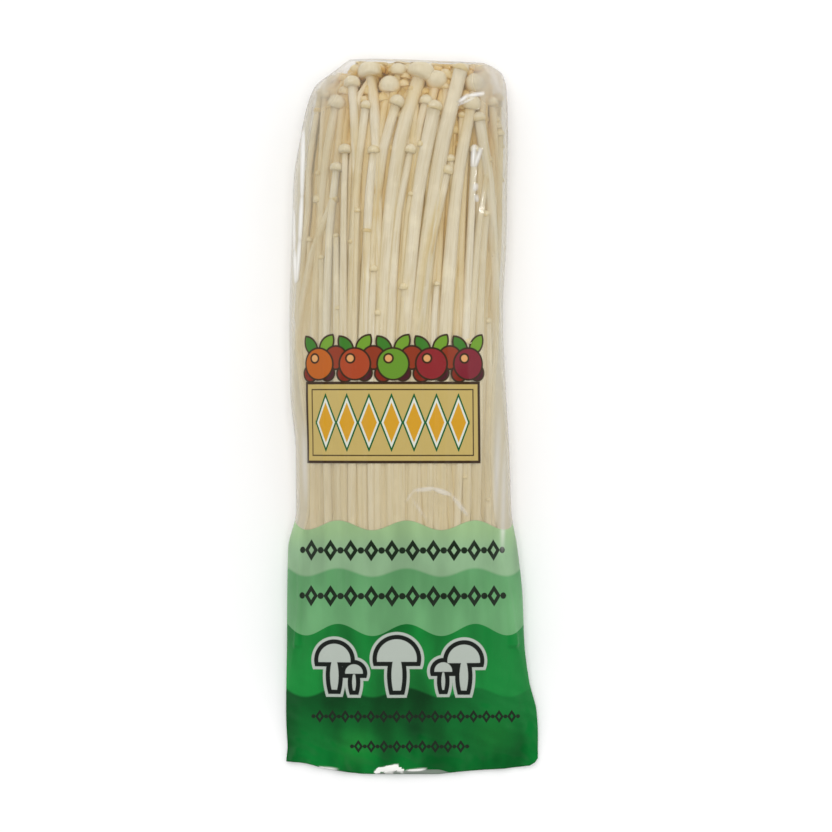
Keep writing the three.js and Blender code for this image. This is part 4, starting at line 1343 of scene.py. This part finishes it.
def printed_film(name):
    """Cast polypropylene film, printed on its face: thin, glossy and a little cloudy.

    Where it clings it is clear; where it stands off it looks milky. The inks cover almost fully,
    and the film's own gloss runs over them unbroken.
    """
    m = new_material(name)
    place = add(m, "Attribute", output="Vector", attribute_name="print_mm")
    air, crease_white_and_glint, above_edge = (
        add(m, "Attribute", output="Fac", attribute_name=read)
        for read in ("air", "crease_white_and_glint", "above_ink_edge")
    )
    across, along = (add(m, "SeparateXYZ", [place], side) for side in ("X", "Y"))
    uneven = add(m, "TexNoise", {"Vector": place, "Scale": 0.5, "Detail": 3.0})
    colour = tinted(
        m, linear("#ebe6d2"),
        (uneven, -0.2, 1.2, 1.0, "#e0dac3"),
        (along, *LOW_DOWN, 1.0, "#e7dfc7"),
        (along, *HIGH_UP, 1.0, "#e6e1d4"),
    )
    cover = milky_cover(m, air, across, along)
    # Painted sheen, with some whitening, on a fold of the film.
    x, y, radius = FOLD_SHEEN_PATCH.values()
    fold_sheen = Ink(disc(m, place, x, y, radius), linear("#f2e8cc"), 0.6, radius, 0.45)
    layers = [fold_sheen] + green_bands(m, place, across, along) + borders(m, place)
    for ink in layers + emblems(m, place) + panel(m, place) + garland(m, place, across):
        shown = add(m, "MapRange", (ink.distance, -ink.soft, ink.soft, ink.share, 0.0), **SMOOTHLY)
        inputs = {SHARE: shown, COLOUR_A: colour, COLOUR_B: ink.colour}
        colour = add(m, "Mix", inputs, MIXED_COLOUR, data_type="RGBA")
        cover = add(m, "Mix", {SHARE: shown, NUMBER_A: cover, NUMBER_B: ink.opacity})

    # Beyond the ink's lower end the film is clear, and along a crease it is painted white: partly
    # stress-whitening, partly a painted highlight.
    colour = tinted(
        m, colour,
        (above_edge, 0.1, -0.1, 1.0, "#d8dcd6"),
        (crease_white_and_glint, 0.0, 0.15, 1.0, "#f7f6f2"),
    )
    inked = add(m, "MapRange", (above_edge, -0.1, 0.1), **SMOOTHLY)
    cover = add(m, "Mix", {SHARE: inked, NUMBER_A: 0.45, NUMBER_B: cover})
    whitened_and_glinting = add(m, "MapRange", (crease_white_and_glint, 0.0, 0.15), **SMOOTHLY)
    solid = add(m, "Math", (cover, whitened_and_glinting), operation="MAXIMUM")
    thin = add(m, "MapRange", (solid, 0.85, 0.93, 0.4, 0.0), **SMOOTHLY)
    cover = add(m, "Mix", {SHARE: crease_white_and_glint, NUMBER_A: cover, NUMBER_B: 1.0})

    ink = add(m, "BsdfPrincipled", {"Base Color": colour, "Roughness": 0.5, "Specular IOR Level": 0.0})
    sheet = add(m, "MixShader", (thin, ink, add(m, "BsdfTranslucent", [colour])))
    body = add(m, "MixShader", (cover, add(m, "BsdfTransparent"), sheet))
    facing = add(m, "LayerWeight", {"Blend": 0.5}, "Facing")
    grazing = add(m, "Math", (facing, 5.0), operation="POWER")
    mirror = add(m, "Math", (grazing, 0.9, 0.025), operation="MULTIPLY_ADD")
    gloss = add(m, "BsdfGlossy", {"Roughness": 0.09})
    add(m, "OutputMaterial", [add(m, "MixShader", (mirror, body, gloss))])
    return m


def opal_sheet(name):
    """A matt opal sheet, lit a little from below: even and white, so shadows on it are faint. Its
    fine tooth is drawn about 1 mm wide, as coarse as it needs to show."""
    m = new_material(name)
    place = add(m, "TexCoord", output="Object")
    tooth = add(m, "TexNoise", {"Vector": place, "Scale": 0.9 / MM, "Detail": 2.0})
    sheet = add(m, "BsdfPrincipled", {
        "Base Color": tinted(m, linear("#f7f7f7"), (tooth, -0.2, 1.2, 1.0, "#fbfbfb")),
        "Roughness": 0.9,
        "Emission Color": linear("#ffffff"),
        "Emission Strength": 0.055,
    })
    add(m, "OutputMaterial", [sheet])
    return m


# ---- Making the pieces ----------------------------------------------------------------------

FINE_STEM, FINE_CAP = dict(sides=16, rings=24), dict(sides=16, rings=10)
PLAIN_STEM, PLAIN_CAP = dict(sides=10, rings=14), dict(sides=10, rings=6)

draw = seeded(SEED)
flesh = enoki_flesh("enoki_flesh")
film = printed_film("printed_film")

fine = (model_rod(**FINE_STEM), model_cap(**FINE_CAP), FINE_STEM["rings"])
plain = (model_rod(**PLAIN_STEM), model_cap(**PLAIN_CAP), PLAIN_STEM["rings"])
front_bunch, inner_bunch, back_bunch = Bunch(*fine), Bunch(*plain), Bunch(*plain)
grow_front(front_bunch, draw)
for bunch, row in (
    (front_bunch, "front_filling"), (inner_bunch, "second"), (inner_bunch, "third"),
    (back_bunch, "back"), (back_bunch, "second_back"), (inner_bunch, "end"),
):
    grow_row(bunch, ROWS[row], draw)
for side in (0, 1):
    grow_side(back_bunch, side, draw)
grow_row(back_bunch, ROWS["end_back"], seeded(SEED + 1))

mushrooms = [
    front_bunch.finish("front_mushrooms", flesh),
    inner_bunch.finish("inner_mushrooms", flesh),
    back_bunch.finish("back_mushrooms", flesh),
    packed_form("packed_stems", INNER_STEMS, draw, flesh),
    packed_form("root_block", ROOT_BLOCK, draw, flesh),
]
obstacles = BVHTree.FromPolygons(*gathered(mushrooms))
# Painted shade in the gaps: how closely each point of flesh faces other flesh.
for piece in mushrooms:
    store(piece, "crevice_shade", "FLOAT", crevice_shading(piece, obstacles))
films = [
    make_film(obstacles, draw, film),
    make_back_seam(draw, film),
    make_top_flap(draw, film),
]

for pieces, node, slot in ((mushrooms, "mushroom_bunch", "mushroom"), (films, "film_bag", "film")):
    for piece in pieces:
        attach(piece, BODY)
        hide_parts(node)

# ---- Floor, lights and camera ---------------------------------------------------------------

start_piece()
bpy.ops.mesh.primitive_plane_add(size=6)
floor = bpy.context.object
floor.name = "floor"
floor.data.materials.append(opal_sheet("opal_sheet"))

# A light tent, bright all round, dim at the gap that the camera looks through and less bright at
# the hem's end, so the film shows no glare where it lies flat or slopes to the hem.
world = bpy.data.worlds.new("light_tent")
world.use_nodes = True
background = world.node_tree.nodes["Background"]
towards = add(world, "TexCoord", output="Generated")
up, along = (add(world, "SeparateXYZ", [towards], side) for side in ("Z", "Y"))
gap = add(world, "MapRange", (up, 0.8, 0.97, 0.95, 0.2), **SMOOTHLY)
hem_end = add(world, "MapRange", (along, -0.7, 0.3, 0.4, 1.0), **SMOOTHLY)
brightness = add(world, "Math", (gap, hem_end), operation="MULTIPLY")
world.node_tree.links.new(brightness, background.inputs["Strength"])
background.inputs["Color"].default_value = linear("#ffffff")
bpy.context.scene.world = world

# Each light: name, place in metres, width and length in metres, power in watts, and whether the
# film mirrors it. All of them point at the bag's middle.
LIGHTS = [
    ("overhead_fill", (0.0, 0.0, 1.9), 1.0, 1.0, 14.0, False),
    ("top_softbox", (-0.3, 1.1, 1.6), 1.2, 1.0, 4.5, True),
    ("right_window", (0.88, 0.24, 0.55), 0.05, 0.09, 0.4, True),
]
for name, place, width, length, power, mirrored in LIGHTS:
    lamp = bpy.data.lights.new(name, "AREA")
    lamp.shape = "RECTANGLE"
    lamp.size, lamp.size_y = width, length
    lamp.energy = power
    lamp_object = bpy.data.objects.new(name, lamp)
    lamp_object.location = place
    lamp_object.visible_glossy = mirrored
    lamp_object.rotation_euler = Vector(place).to_track_quat("Z", "Y").to_euler()
    bpy.context.collection.objects.link(lamp_object)

# The camera looks straight down. The image is VIEW_WIDTH across at the height of the bag's
# middle, and its centre lies a little right of and above the part's origin.
VIEW_WIDTH = 0.24128
VIEW_CENTRE = (0.00116, 0.00058)
VIEW_HEIGHT = 0.016
LENS, SENSOR = 200.0, 36.0
camera_data = bpy.data.cameras.new("camera")
camera_data.lens = LENS
camera_data.sensor_width = SENSOR
camera = bpy.data.objects.new("camera", camera_data)
camera.location = (*VIEW_CENTRE, VIEW_HEIGHT + VIEW_WIDTH * LENS / SENSOR)
bpy.context.collection.objects.link(camera)
bpy.context.scene.camera = camera
bpy.context.scene.view_settings.view_transform = "Standard"

bpy.context.view_layer.update()
